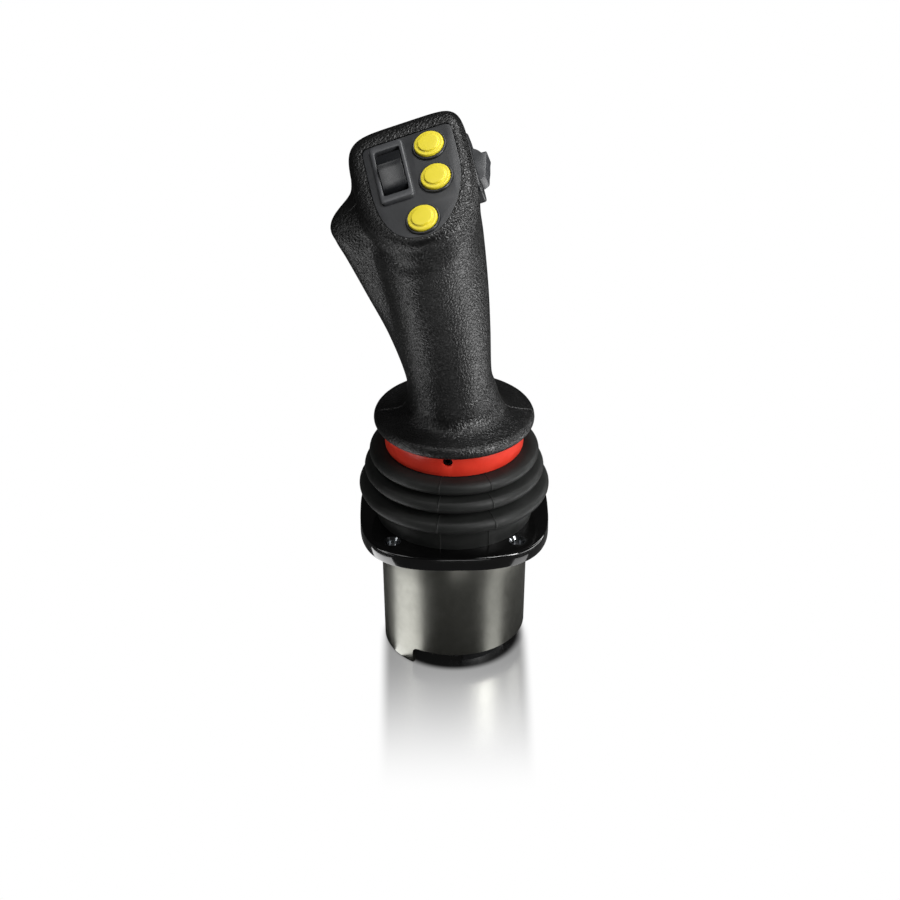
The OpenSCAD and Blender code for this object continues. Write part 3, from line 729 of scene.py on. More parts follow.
@dataclass
class Section:
    """One section of the grip: its centre, lean, reach, squareness and hand-rest lobe."""

    centre: Vector
    share: float
    reach: Four
    powers: Four
    lobe: float = 0.0

    def numbers(self) -> list[float]:
        """Gives the section as one row of numbers, for blending."""
        return [*self.centre, self.share, *self.reach, *self.powers, self.lobe]

    @staticmethod
    def blended(rows: Sequence["Section"], k: int, t: float) -> "Section":
        """Gives the section a share t of the way from row k to the next."""
        four = [row.numbers() for row in neighbours(rows, k)]
        v = [eased(axis, t) for axis in zip(*four)]
        return Section(Vector(v[:3]), v[3], tuple(v[4:8]), tuple(v[8:12]), v[12])


@dataclass
class Station:
    """Where one row of the shell's skin lies: a section, an inset, a blend to the plate and a depth."""

    section: Section
    inset: float = 0.0
    blend: float = 0.0
    depth: float = 0.0


@dataclass
class ControlPlateShape:
    """Outline of the control plate, in the head's frame."""

    centre: Point = (9.7, 0.0)
    reach: Four = (21.3, 21.3, 37.0, 20.8)
    powers: Four = (13.0, 14.0, 2.6, 1.82)

    def point(self, angle: float, inset: float) -> Vector:
        """Gives the outline's point in one direction."""
        a = math.radians(angle)
        r = quartered(angle, self.reach, self.powers) - inset
        return Vector((self.centre[0] + r * math.cos(a), self.centre[1] + r * math.sin(a)))


PLATE_SHAPE = ControlPlateShape()


@dataclass
class GripShells:
    """The two leather-grained halves of the grip, from the disc at its foot to the rim of its head."""

    disc_r: float = 37.7
    disc_low: float = 55.0
    disc_round: float = 3.0
    head_centre: Point = (8.25, -3.0)
    rim_h: float = 5.6
    rim_power: float = 2.4
    rim_steps: int = 12
    seat: float = 2.6
    lip: float = 2.0
    skin: float = 1.5
    groove: float = 0.22
    groove_drop_z: float = 66.0
    columns: int = 96
    stem_steps: int = 9
    foot_steps: int = 6
    lobe_at: float = 180.0
    lobe_w: float = 21.0
    ties: tuple[Point, ...] = ((-8.5, 110.0), (-14.5, 141.0))
    well_r: float = 3.1
    well_out_r: float = 4.6
    well_span: Point = (6.0, 21.5)

    def head_section(
        self,
        depth: float,
        reach: Four,
        lobe: float = 0.0,
        front: Point = (2.0, 2.4),
        shift: Point = (0.0, 0.0),
    ) -> Section:
        """Gives a section parallel to the control plate.

        Args:
            depth: How far below the plate it lies.
            reach: How far it goes right, left, front and back.
            lobe: Height of the hand-rest lobe.
            front: Squareness at front left and front right.
            shift: How far its centre moves to the right and back.

        Returns:
            The section.
        """
        across, back = (a + b for a, b in zip(self.head_centre, shift))
        return Section(HEAD @ Vector((across, back, -depth)), 1.0, reach, (6.5, 5.0, *front), lobe)

    def rows(self) -> list[Section]:
        """Gives the sections that shape the stem and the head."""
        soft = (2.2, 2.2, 2.2, 2.2)
        return [
            Section(Vector((-1.2, 0, 74)), 0, (20.8, 20.8, 21.4, 21.4), (2.1, 2.1, 2.1, 2.1)),
            Section(Vector((-2.7, 0, 82)), 0, (20.1, 20.1, 21, 21), soft),
            Section(Vector((-6.5, 0, 104)), 0.1, (23.2, 20, 23.5, 21), soft, 4),
            Section(Vector((-11, 1, 124)), 0.25, (26.7, 19.5, 27.5, 21), soft, 9),
            Section(Vector((-15.3, 3, 146)), 0.5, (29, 21, 33, 22), (2.5, 2.3, 2.1, 2.2), 13),
            Section(Vector((-16.5, 3.3, 158)), 0.75, (28.6, 22.7, 36.6, 28.0), (3.2, 2.8, 2.15, 2.35), 15.2),
            self.head_section(13, (27.9, 24.5, 39.3, 32.3), 16.1, (2.1, 2.4), (-1.8, -2.0)),
            self.head_section(9, (27.9, 27.2, 38.8, 34.2), 5, (2.05, 2.4), (-0.7, -0.8)),
            self.head_section(5.7, (27.75, 27.75, 38.2, 34.6)),
        ]

    def foot_path(self) -> list[Point]:
        """Gives the outside of the disc and of its fillet into the stem, as radius and height."""
        edge = self.disc_r - self.disc_round
        path = [(r, self.disc_low) for r in (19.6, 26.0, 32.0)]
        path += arc((edge, self.disc_low + self.disc_round), self.disc_round, -90, 90, 12)
        knots = [(edge, 61.0), (29.0, 61.7), (25.3, 62.7), (23.2, 64.6), (21.7, 68.0), (20.8, 74.0)]
        for i in range(len(knots) - 1):
            four = neighbours(knots, i)
            for k in range(0 if i else 1, self.foot_steps):
                path.append(tuple(eased(axis, k / self.foot_steps) for axis in zip(*four)))
        return path

    def on_foot(self, path: Sequence[Point]) -> list[Station]:
        """Gives the stations of a path of radius and height, drifting over to the stem's centre."""
        out = []
        for r, z in path:
            drift = max(0.0, (z - 62.0) / 12.0) ** 2
            deep, power = r + 0.6 * drift, 2.0 + 0.1 * drift
            out.append(Station(Section(Vector((-1.2 * drift, 0, z)), 0, (r, r, deep, deep), (power,) * 4)))
        return out

    def on_stem(self, inset: float) -> list[Station]:
        """Gives the stations of the stem and the head, up to where the rim starts to round over."""
        rows = self.rows()
        steps = self.stem_steps
        out = []
        for k in range(len(rows) - 1):
            out += [Station(Section.blended(rows, k, i / steps), inset) for i in range(steps)]
        return out + [Station(rows[-1], inset)]

    def rim_section(self) -> Section:
        """Gives the section that the rim rounds over from."""
        return self.head_section(0, (27.75, 27.75, 38, 34.6))

    def outside(self) -> list[Station]:
        """Gives the rows that show: up the disc, the stem and the head, and over the rim to the seat."""
        top = self.rim_section()
        power = 2 / self.rim_power
        rim = []
        for i in range(1, self.rim_steps + 1):
            a = math.radians(90 * i / self.rim_steps)
            blend, drop = 1 - max(math.cos(a), 0) ** power, 1 - math.sin(a) ** power
            rim.append(Station(top, 0, blend, self.rim_h * drop))
        rim += [Station(top, 0, 1, depth) for depth in (0.15, 0.8, self.seat)]
        return self.on_foot(self.foot_path()) + self.on_stem(0.0) + rim

    def stations(self) -> list[Station]:
        """Gives every row of the skin: what shows, the seat's lip, and down the inside."""
        top = self.rim_section()
        lip = [Station(top, self.lip, 1, depth) for depth in (self.seat, self.seat + self.skin)]
        inside = self.on_foot(drawn_in(self.foot_path(), self.skin)) + self.on_stem(self.skin)
        return self.outside() + lip + inside[::-1]

    def point(self, station: Station, angle: float, inset: float) -> Vector:
        """Gives one point of the skin.

        Args:
            station: The row.
            angle: The direction round the grip, in degrees.
            inset: How far it is drawn in for the groove at the seam.

        Returns:
            The point in millimetres.
        """
        section = station.section
        off = station.inset + inset
        apart = (angle - self.lobe_at + 180) % 360 - 180
        radius = quartered(angle, section.reach, section.powers) - off
        radius += section.lobe * math.exp(-((apart / self.lobe_w) ** 2))
        a = math.radians(angle)
        own = Vector((math.cos(a), math.sin(a))) * radius
        plate = PLATE_SHAPE.point(angle, off) - Vector(self.head_centre)
        flat = own * (1 - station.blend) + plate * station.blend
        return section.centre + leaned(section.share) @ Vector((flat.x, flat.y, -station.depth))

    def angles(self, start: float) -> list[float]:
        """Gives the directions of the columns, close together beside the seam."""
        inner = [start + 1.6 + 176.8 * i / (self.columns - 4) for i in range(self.columns - 3)]
        return [start, start + 0.7, *inner, start + 179.3, start + 180]

    def shell(self, start: float, name: str) -> bpy.types.Object:
        """Builds one half from a grid whose rows run up the outside and down the inside.

        Args:
            start: The direction of the half's first seam edge, in degrees.
            name: The piece's name.

        Returns:
            The half shell.
        """
        rows = self.stations()
        rows.append(rows[0])
        shown, angles = len(self.outside()), self.angles(start)

        def corner(column: int, row: int) -> Vector:
            """Gives one corner of the skin, drawn in for the groove where the two halves meet."""
            seam = column in (0, len(angles) - 1) and row < shown
            groove = self.groove if seam else 0.0
            place = self.point(rows[row], angles[column], groove)
            if place.z < self.groove_drop_z:
                place.z -= groove
            return place

        bm = grid(len(angles), len(rows), corner)
        bmesh.ops.remove_doubles(bm, verts=bm.verts, dist=10 * MERGE)
        middle_x = -8
        ends = open_edges(bm)
        for right in (True, False):
            loop = [e for e in ends if (e.verts[0].co.x > middle_x) == right]
            bmesh.ops.triangle_fill(bm, use_beauty=True, edges=loop)
        return as_object(bm, name, UPRIGHT)

    def cutters(self, rear: bool) -> list[bpy.types.Object]:
        """Gives the shapes cut out of a half: the side rocker's opening, and the screw wells at the back."""
        tools = [as_object(prism(rounded_rectangle(11.9, 35.3, 3.6), -9, 8), "cut_side", SIDE)]
        if rear:
            for x, z in self.ties:
                place = Matrix.Translation((x, 33.0, z)) @ Matrix.Rotation(math.pi / 2, 4, "X")
                tools.append(drill(self.well_r, 46.0, place))
        return tools

    def build(self) -> None:
        """Builds and dresses both halves, and lines the screw wells."""
        for start, name in ((180.0, "grip_front"), (0.0, "grip_rear")):
            half = self.shell(start, f"{name}_shell")
            cut_away(half, self.cutters(name == "grip_rear"))
            dress(half, GRIP, Body.LEVER, name, sharp_deg=48)
        near, far = self.well_span
        profile = [(self.well_r, near), (self.well_out_r, near), (self.well_out_r, far), (self.well_r, far)]
        for index, (x, z) in enumerate(self.ties):
            place = Matrix.Translation((x, 0, z)) @ Matrix.Rotation(-math.pi / 2, 4, "X")
            well = as_object(lathed(profile, 48), f"screw_well_{index + 1}", place)
            dress(well, NYLON, Body.LEVER)


@dataclass
class ControlPlate:
    """The smooth plate on the head, with its openings."""

    top: float = -0.2
    thick: float = 2.4
    gap: float = 0.22
    caps: tuple[Point, ...] = ((19.1, 11.0), (18.5, -7.9), (8.5, -27.9))
    hole_r: float = 7.5
    window: tuple[float, float] = (14.2, 27.8)
    bezel_at: Point = (0.0, 2.7)

    def build(self) -> None:
        """Builds the plate and cuts its openings."""
        outline = [tuple(PLATE_SHAPE.point(angle, self.gap)) for angle in headings()]
        plate = as_object(prism(outline, self.top - self.thick, self.top, 0.3), "control_plate", HEAD)
        places = [HEAD @ Matrix.Translation((x, y, 0)) for x, y in self.caps]
        tools = [drill(self.hole_r, 12, place, segments=64) for place in places]
        hole = prism(rounded_rectangle(*self.window, 1.0), -6, 6)
        tools.append(as_object(hole, "cut_window", HEAD @ Matrix.Translation((*self.bezel_at, 0))))
        cut_away(plate, tools)
        dress(plate, PLATE, Body.LEVER, "face_plate")


@dataclass
class PushButtons:
    """Three yellow caps, each in a low black bezel."""

    plate: ControlPlate
    cap_r: float = 6.75
    spring_r: float = 3.6
    spring_low: float = -7.9
    spring_length: float = 6.8
    wire_r: float = 0.35
    turns: int = 4
    pressed_share: float = 0.77

    def cap_profile(self) -> list[Point]:
        """Gives the cap's half section: a flange with a raised disc, and the stem under it."""
        r, inner = self.cap_r, self.cap_r * 0.7
        out: list[Point] = [(0, -10.6), (1.9, -10.6), (1.9, -1.0), (r - 0.2, -1.0), (r, -0.8)]
        out += arc((r - 0.55, 1.35), 0.55, 0, 90, 6)
        out += [(inner + 0.6, 1.9), (inner + 0.3, 1.93), (inner + 0.14, 2.05)]
        out += arc((inner - 0.35, 2.25), 0.45, 0, 90, 6)
        out += [(inner * 0.5, 2.72), (0, 2.73)]
        return out

    def bezel_profile(self) -> list[Point]:
        """Gives the bezel's closed half section: a tube with a rounded flange on the plate."""
        r, well, top = self.cap_r + 1.25, self.cap_r + 0.2, self.plate.top
        tube = [(2.3, -9), (well + 0.5, -9), (well + 0.5, top)]
        brim = [(r - 0.1, top), (r, top + 0.15), (r - 0.05, top + 0.6), (r - 0.3, top + 0.92)]
        brim.append((r - 0.6, top + 1.0))
        mouth = [(well + 0.2, top + 1.0), (well + 0.05, top + 0.93), (well, top + 0.8), (well, -8), (2.3, -8)]
        return tube + brim + mouth

    def spring(self, index: int, place: Matrix) -> None:
        """Winds the return spring under a cap at its free length; it rides on the lever.

        Args:
            index: The button's number, from 0.
            place: The cap's place.
        """
        steps = 24 * self.turns
        lift = Matrix.Translation((self.spring_r, 0, self.spring_low + self.wire_r))
        bm = bmesh.new()
        turned = lift @ Matrix.Rotation(math.pi / 2, 4, "X")
        ring = bmesh.ops.create_circle(bm, segments=10, radius=self.wire_r, matrix=turned)["verts"]
        edges = list({edge for vert in ring for edge in vert.link_edges})
        winding = {"axis": (0, 0, 1), "cent": (0, 0, 0), "angle": TURN * self.turns, "steps": steps}
        rise = (self.spring_length - 2 * self.wire_r) / steps
        bmesh.ops.spin(bm, geom=ring + edges, dvec=(0, 0, rise), **winding)
        bmesh.ops.holes_fill(bm, edges=open_edges(bm))
        coil = as_object(bm, f"return_spring_{index + 1}", place)
        dress(coil, STEEL, Body.LEVER, f"button_spring_{index + 1}", sharp_deg=60)
        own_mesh(coil)

    def build(self) -> None:
        """Builds the caps, their springs and their bezels."""
        rings: list[bpy.types.Object] = []
        for index, (x, y) in enumerate(self.plate.caps):
            place = HEAD @ Matrix.Translation((x, y, 0))
            cap = as_object(lathed(self.cap_profile(), 96, closed=False), f"cap_{index + 1}", place)
            dress(cap, CAP, Body[f"BUTTON_{index + 1}"], f"button_cap_{index + 1}")
            self.spring(index, place)
            rings.append(as_object(lathed(self.bezel_profile(), 96), f"cap_bezel_{index + 1}", place))
        for ring in rings:
            dress(ring, BEZEL_BLACK, Body.LEVER)
        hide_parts("button_bezels")


@dataclass
class RockerUnit:
    """A rocker in its bezel: z points out of the panel, and the swing axis lies along x."""

    label: str
    place: Matrix
    body: Body
    bezel_size: tuple[float, float, float]
    box_size: tuple[float, float, float]
    window: tuple[float, float]
    top: float
    low: float
    axis_z: float
    paddle_w: float
    lift: float
    bezel_finish: Finish
    barrel_finish: Finish
    paddle_finish: Finish
    barrel_r: float = 9.3
    pin_r: float = 2.4
    ridge_y: float = 3.6
    sloped: bool = False

    def bezel(self) -> bpy.types.Object:
        """Builds the bezel by bridging rounded rectangles round its window."""
        wide, long, corner = self.bezel_size
        box_w, box_l, box_r = self.box_size
        win_w, win_l = self.window
        seat = -0.2

        def loop(w: float, l: float, r: float, z: float) -> list[Vector]:
            """Gives one rounded rectangle at a height."""
            return [Vector((x, y, z)) for x, y in rounded_rectangle(w, l, r)]

        rings = [loop(box_w, box_l, box_r, z) for z in (self.low, seat)] + [loop(wide, long, corner, seat)]
        for inset, drop in ((0.0, 0.9), (0.12, 0.45), (0.4, 0.15), (0.8, 0.0)):
            rings.append(loop(wide - 2 * inset, long - 2 * inset, corner - inset * 0.6, self.top - drop))
        for inset, drop in ((0.5, 0.0), (0.2, 0.08), (0.05, 0.25), (0.0, 0.6)):
            rings.append(loop(win_w + 2 * inset, win_l + 2 * inset, 0.8 + inset, self.top - drop))
        rings.append(loop(win_w, win_l, 0.8, self.low + 1.2))
        return as_object(lofted(rings, caps=True), f"{self.label}_bezel", self.place)

    def behind(self) -> list[Point]:
        """Gives what lies behind the ridge: a slope into the window, or a barrel that stands proud."""
        r = self.barrel_r
        if self.sloped:
            end = [(10.4, 1.0), (11.0, 6.1), (11.05, 6.6), (10.9, 7.1), (10.5, 7.4)]
            return end + [(8.0, 8.2), (5.6, 8.9), (4.6, 9.15), (4.2, 9.3), (3.95, 9.7)]
        return [(r, -0.5), *arc((0, 0), r, 2, math.degrees(math.acos(3.9 / r)), 14)]

    def profile(self) -> list[Point]:
        """Gives the paddle's side view as points of y and z about the swing axis."""
        r, top = self.barrel_r, self.barrel_r + self.lift
        out: list[Point] = [(self.pin_r, -0.5), *self.behind()]
        out += [(3.75, top - 0.45), (3.5, top - 0.1), (3.1, top), (2.2, top - 0.25), (1.4, top - 0.55)]
        out += [(0.2, top - 0.85), (-1.6, top - 1.2), (-3.5, top - 1.6), (-6.0, r - 0.85), (-8.4, r - 1.35)]
        out += [(-9.3, r - 1.75), (-9.75, r - 2.4), (-10.3, r - 3.6), (-10.5, 4.9), (-10.2, 4.2)]
        out += [(-9.2, 1.2), (-9.3, -0.5), (-self.pin_r, -0.5)]
        out += arc((0, 0), self.pin_r, 192, 348, 8)
        return out

    def rocker(self) -> bpy.types.Object:
        """Builds the paddle by extruding its side view along the swing axis."""
        side = [(-self.paddle_w / 2, y, z + self.axis_z) for y, z in self.profile()]
        return as_object(extruded(side, (self.paddle_w, 0, 0), 0.3), f"{self.label}_paddle", self.place)

    def build(self) -> None:
        """Builds the bezel and the paddle, and gives the barrel behind the ridge its own finish; on the side
        rocker the paddle takes a lighter grey as a painted highlight.
        """
        dress(self.bezel(), self.bezel_finish, Body.LEVER, f"{self.label}_bezel")
        paddle = self.rocker()
        dress(paddle, self.paddle_finish, self.body, f"{self.label}_rocker", sharp_deg=24)
        paddle.data.materials.append(self.barrel_finish.make())
        to_unit = (Matrix.Scale(MM, 4) @ self.place).inverted()
        for face in paddle.data.polygons:
            face.material_index = 1 if (to_unit @ face.center).y > self.ridge_y else 0


def face_unit(plate: ControlPlate) -> RockerUnit:
    """Gives the rocker on the control plate."""
    place = HEAD @ Matrix.Translation((*plate.bezel_at, 0))
    return RockerUnit(
        label="face", place=place, body=Body.FACE_ROCKER,
        bezel_size=(15.8, 33.4, 2.2), box_size=(14.0, 27.6, 1.0), window=(11.6, 25.2), top=1.5, low=-10.6,
        axis_z=-6.4, paddle_w=11.1, lift=1.2,
        bezel_finish=BEZEL_GREY, barrel_finish=ROCKER, paddle_finish=ROCKER, sloped=True,
    )


def side_unit() -> RockerUnit:
    """Gives the rocker on the right side of the head."""
    return RockerUnit(
        label="side", place=SIDE, body=Body.SIDE_ROCKER,
        bezel_size=(11.6, 35.0, 3.4), box_size=(11.6, 35.0, 3.4), window=(8.6, 25.2), top=0.9, low=-8.6,
        axis_z=-3.9, paddle_w=8.1, lift=1.6,
        # The paddle is painted a lighter grey than its black barrel: a painted highlight for the lit band
        # across it.
        bezel_finish=BEZEL_BLACK, barrel_finish=ROCKER, paddle_finish=PAINTED_HIGHLIGHT_ROCKER,
    )


@dataclass
class Collar:
    """The red collar under the grip, with its set screw's hole."""

    low_r: float = 32.5
    flare: float = 0.9
    low: float = 44.0
    lip: float = 1.2
    web: float = 49.5
    top: float = 55.0
    bore: float = 6.05
    screw_r: float = 2.35
    screw_heading: float = -96.0

    def build(self) -> None:
        """Builds the collar and cuts the hole a little left of its front."""
        r, top_r, inner = self.low_r, self.low_r + self.flare, self.low_r - self.lip
        low, top = self.low, self.top
        profile = [(inner, low + 0.3), (inner + 0.1, low + 0.05), (inner + 0.3, low), (r - 0.35, low)]
        profile += [(r - 0.05, low + 0.08), (r + 0.12, low + 0.35), (top_r - 0.25, top - 1.4)]
        profile += [(top_r, top - 0.8), (top_r, top - 0.4), (top_r - 0.15, top - 0.1), (top_r - 0.4, top)]
        profile += [(self.bore, top), (self.bore, self.web), (inner, self.web)]
        ring = as_object(lathed(profile, 180), "red_collar", UPRIGHT)
        turn = Matrix.Rotation(math.radians(self.screw_heading), 4, "Z") @ Matrix.Translation((31, 0, 52))
        cut_away(ring, [drill(self.screw_r, 18, turn @ Matrix.Rotation(math.pi / 2, 4, "Y"))])
        dress(ring, COLLAR, Body.LEVER, "collar")


@dataclass
class Bellows:
    """The rubber bellows, as the part below and the part above the valley between two folds."""

    skirt: float = 37.2
    thick: float = 1.5
    low: float = 6.9
    neck_r: float = 31.2
    collar_low: float = 44.0
    top: float = 49.4
    round_r: float = 3.0
    valley: float = 27.0
    inner_drop: float = 2.3
    ridge_w: float = 0.35
    ridge_h: float = 0.14
    ridge_from: float = 36.0
    folds: tuple[Point, ...] = ((42.09, 22.0), (39.4, 31.7), (37.0, 40.2))

    def fold(self, index: int, start: float, end: float) -> list[Point]:
        """Gives the rounded rim of one fold."""
        return arc(self.folds[index], self.round_r, start, end, 12)

    def lower_path(self) -> list[Point]:
        """Gives the outside of the part below the valley, upwards."""
        s = self.skirt
        wall = [(s, self.low), (s, 9), (s, 12), (s, 15), (s + 0.4, 16.4), (s + 2, 17.9)]
        return [*wall, *self.fold(0, -70, 70), (s + 1.4, 26.2), (s - 0.2, 26.75), (s - 0.8, self.valley)]

    def upper_path(self) -> list[Point]:
        """Gives the outside of the part above the valley, upwards."""
        s, neck, low = self.skirt, self.neck_r, self.collar_low
        last_r, last_z = self.folds[2]
        foot = [(s - 0.8, self.valley), (s - 0.6, 27.5), (s + 0.8, 28.4)]
        between = [(s - 1.2, 35.6), (s - 2.0, 35.95), (s - 2.2, 36.2), (s - 1.9, 36.6), (s - 1, 37.3)]
        shoulder = [(last_r - 1.2, last_z + self.round_r + 0.25)]
        shoulder += [(neck + 2.2, low - 0.3), (neck + 0.2, low - 0.3)]
        seat = [(neck, low + 0.3), (neck, self.top)]
        return [*foot, *self.fold(1, -56, 70), *between, *self.fold(2, -56, 56), *shoulder, *seat]

    def closed(self, path: Sequence[Point], ends: Sequence[Point]) -> list[Point]:
        """Gives the closed section of the rubber from its outside and the two ends of its inside."""
        inner = [ends[0], *drawn_in(path, self.thick)[1:-1], ends[1]]
        return list(path) + inner[::-1]

    def mould_lines(self, obj: bpy.types.Object) -> None:
        """Raises the fine lines that the mould's halves leave down the folds."""
        for vert in obj.data.vertices:
            x, y = vert.co.x, vert.co.y
            r = math.hypot(x, y)
            angle = math.degrees(math.atan2(y, x))
            for seam in MOULD_SEAMS:
                if abs(angle - seam) * math.pi / 180 * r < self.ridge_w * MM and r > self.ridge_from * MM:
                    vert.co.x += x / r * self.ridge_h * MM
                    vert.co.y += y / r * self.ridge_h * MM

    def build(self) -> None:
        """Builds both parts and attaches neither to a body; the two bodies and the reach listed beside each
        are not used.
        """
        meeting = (self.skirt - self.inner_drop, self.valley)
        low = self.closed(self.lower_path(), [(self.skirt - self.thick, self.low), meeting])
        high = self.closed(self.upper_path(), [meeting, (self.neck_r - self.thick, self.top)])
        seam = self.valley * MM
        for name, profile, ends, reach in (
            ("bellows_lower", low, (Body.BASE, Body.GIMBAL), (12.0 * MM, seam)),
            ("bellows_upper", high, (Body.GIMBAL, Body.LEVER), (seam, 43.0 * MM)),
        ):
            part = as_object(lathed(profile, 360), f"{name}_rubber", UPRIGHT)
            self.mould_lines(part)
            dress(part, RUBBER, None, name, sharp_deg=60)
            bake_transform(part)


@dataclass
class Flange:
    """The glossy mounting flange: a bowed square with four bright countersunk holes."""

    width: float = 90.0
    thick: float = 6.8
    power: float = 2.92
    opening_r: float = 25.0
    pitch: float = 58.8
    hole_r: float = 2.7
    sink_r: float = 3.8
    lining: float = 0.3
    screw_r: float = 27.5

    def outline(self, inset: float) -> list[Point]:
        """Gives the bowed square, drawn in by an inset."""
        out = []
        for heading in headings():
            a = math.radians(heading)
            c, s = abs(math.cos(a)) * 2 / self.width, abs(math.sin(a)) * 2 / self.width
            r = (c**self.power + s**self.power) ** (-1 / self.power) - inset
            out.append((r * math.cos(a), r * math.sin(a)))
        return out

    def plate(self) -> bpy.types.Object:
        """Builds the plate with its rounded edges and its middle opening."""
        t = self.thick
        rings = []
        low_edge = ((0.5, 0.0), (0.15, 0.15), (0.0, 0.5))
        high_edge = ((0.0, t - 0.85), (0.08, t - 0.5), (0.3, t - 0.2), (0.75, t))
        for inset, z in low_edge + high_edge:
            rings.append([Vector((x, y, z)) for x, y in self.outline(inset)])
        turns = [math.radians(heading) for heading in headings()]
        for z, r in ((t, self.opening_r + 0.4), (t - 0.4, self.opening_r), (0.0, self.opening_r)):
            rings.append([Vector((r * math.cos(a), r * math.sin(a), z)) for a in turns])
        return as_object(lofted(rings, wrap=True), "mounting_flange", UPRIGHT)

    def hole(self, x: int, y: int) -> Matrix:
        """Gives the place of the hole in one corner, by the signs of its X and Y."""
        return Matrix.Translation((x * self.pitch / 2, y * self.pitch / 2, 0))

    def cutters(self) -> list[bpy.types.Object]:
        """Gives the shapes of the four countersunk holes and of the four screws' counterbores."""
        t, low, high = self.thick, -2, self.thick + 2
        wide, sink = self.hole_r + self.lining, self.sink_r + self.lining
        bore = [(0, low), (wide, low), (wide, t - 1.4), (sink, t - 0.3), (sink, high), (0, high)]
        tools = []
        for x in (-1, 1):
            for y in (-1, 1):
                tools.append(as_object(lathed(bore, 64, closed=False), "cut_bore", self.hole(x, y)))
        bore = [(0, low), (1.6, low), (1.6, t - 3), (3.0, t - 3), (3.0, high), (0, high)]
        for k in range(4):
            turn = Matrix.Rotation(math.radians(45 + 90 * k), 4, "Z")
            place = turn @ Matrix.Translation((self.screw_r, 0, 0))
            tools.append(as_object(lathed(bore, 32, closed=False), "cut_screw_bore", place))
        return tools

    def build(self) -> None:
        """Builds the plate, its holes and the bright cones that line them."""
        plate = self.plate()
        cut_away(plate, self.cutters())
        dress(plate, FLANGE, Body.BASE, "flange")
        t, r = self.thick, self.hole_r
        wide, sink = r + self.lining, self.sink_r + self.lining
        lining = [(r, 0.1), (wide, 0.1), (wide, t - 1.4), (sink, t - 0.3), (sink, t - 0.02)]
        lining += [(self.sink_r, t - 0.02), (r, t - 1.3)]
        for k, (x, y) in enumerate(((1, 1), (-1, 1), (-1, -1), (1, -1))):
            cone = as_object(lathed(lining, 64), f"countersink_{k + 1}", self.hole(x, y))
            dress(cone, SINK, Body.BASE)


@dataclass
class Can:
    """The anodised can under the flange, with the rim cut away for the cable."""

    radius: float = 35.15
    depth: float = 65.0
    wall: float = 2.3
    draft: float = 1.0
    notch_h: float = 9.0
    notch: tuple[float, float] = (-127.0, 20.0)
    corner: float = 3.0
    ledge: tuple[float, float, float] = (30.5, -56.0, -54.5)
    cut_span: Point = (31.2, 60.0)
    cut_steps: int = 48

    def outer(self, z: float) -> float:
        """Gives the outside radius at a height, which the draft narrows downwards."""
        return self.radius + z * math.tan(math.radians(self.draft))

    def inner(self, z: float) -> float:
        """Gives the inside radius at a height."""
        return self.outer(z) - self.wall

    def profile(self) -> list[Point]:
        """Gives the can's closed half section, with the ledge inside its foot."""
        outer, inner = self.outer, self.inner
        d, (ledge_r, ledge_low, ledge_top) = -self.depth, self.ledge
        out = [(inner(d) + 0.5, d), (outer(d) - 0.7, d), (outer(d) - 0.2, d + 0.15), (outer(d), d + 0.6)]
        out += [(outer(z), z) for z in (-56, -40, -20, -0.5)] + [(outer(0) - 0.3, 0.0), (inner(0), 0.0)]
        out += [(inner(z), z) for z in (-20, -40, ledge_top)] + [(ledge_r, ledge_top), (ledge_r, ledge_low)]
        return out + [(inner(ledge_low), ledge_low), (inner(d + 0.6), d + 0.6)]

    def build(self) -> None:
        """Builds the can and cuts the notch with its rounded corners."""
        can = as_object(lathed(self.profile(), OUTLINE_STEPS), "can_housing", UPRIGHT)
        cut_away(can, [self.notch_tool()])
        dress(can, CAN, Body.BASE, "housing")

    def notch_outline(self) -> list[Point]:
        """Gives the notch's outline as heading in radians and height, with its upper corners rounded."""
        start, end = (math.radians(a) for a in self.notch)
        top, low = -self.depth + self.notch_h, -self.depth - 4
        bend, steps = self.corner / (self.radius - self.wall / 2), self.cut_steps
        turns = (0.4, 0.8, 1.2, math.pi / 2)

        def rounded(edge: float, way: int, angles: Sequence[float]) -> list[Point]:
            """Gives the round beside one edge, which runs inwards the given way."""
            drop = [top - self.corner * (1 - math.sin(a)) for a in angles]
            return [(edge + way * bend * (1 - math.cos(a)), z) for a, z in zip(angles, drop)]

        out = [(start, low), (start, top - self.corner), *rounded(start, 1, turns)]
        out += [(start + bend + (end - start - 2 * bend) * i / steps, top) for i in range(1, steps)]
        out += [*rounded(end, -1, turns[::-1]), (end, top - self.corner), (end, low)]
        return out + [(end - (end - start) * i / steps, low) for i in range(1, steps)]

    def notch_tool(self) -> bpy.types.Object:
        """Gives the shape that cuts the rim: a part turn of a slot, closed on its inner and outer sides."""
        rows = self.notch_outline()
        loops = [[Vector((r * math.cos(a), r * math.sin(a), z)) for a, z in rows] for r in self.cut_span]
        bm = lofted(loops)
        middle = sum(self.cut_span) / 2
        ends = open_edges(bm)
        for near in (True, False):
            side = [e for e in ends if (math.hypot(*e.verts[0].co.xy) < middle) == near]
            bmesh.ops.triangle_fill(bm, use_beauty=True, edges=side)
        return as_object(bm, "cut_notch", UPRIGHT)


class CarriedNodes:
    """The solids that are shown as they are, with their own finishes."""

    def build(self) -> None:
        """Dresses each solid that no piece stands for."""
        for name, finish in NODE_FINISH.items():
            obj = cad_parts[name]
            obj.data.materials.clear()
            obj.data.materials.append(finish.make())
            for face in obj.data.polygons:
                face.use_smooth = False
            LOG.info("%s: carried over", name)


# ---- the stage ----


def bare_material(name: str) -> tuple[bpy.types.Material, bpy.types.NodeTree]:
    """Gives a material without its usual shader, and its node tree."""
    material = bpy.data.materials.new(name)
    material.use_nodes = True
    tree = material.node_tree
    tree.nodes.remove(tree.nodes["Principled BSDF"])
    return material, tree


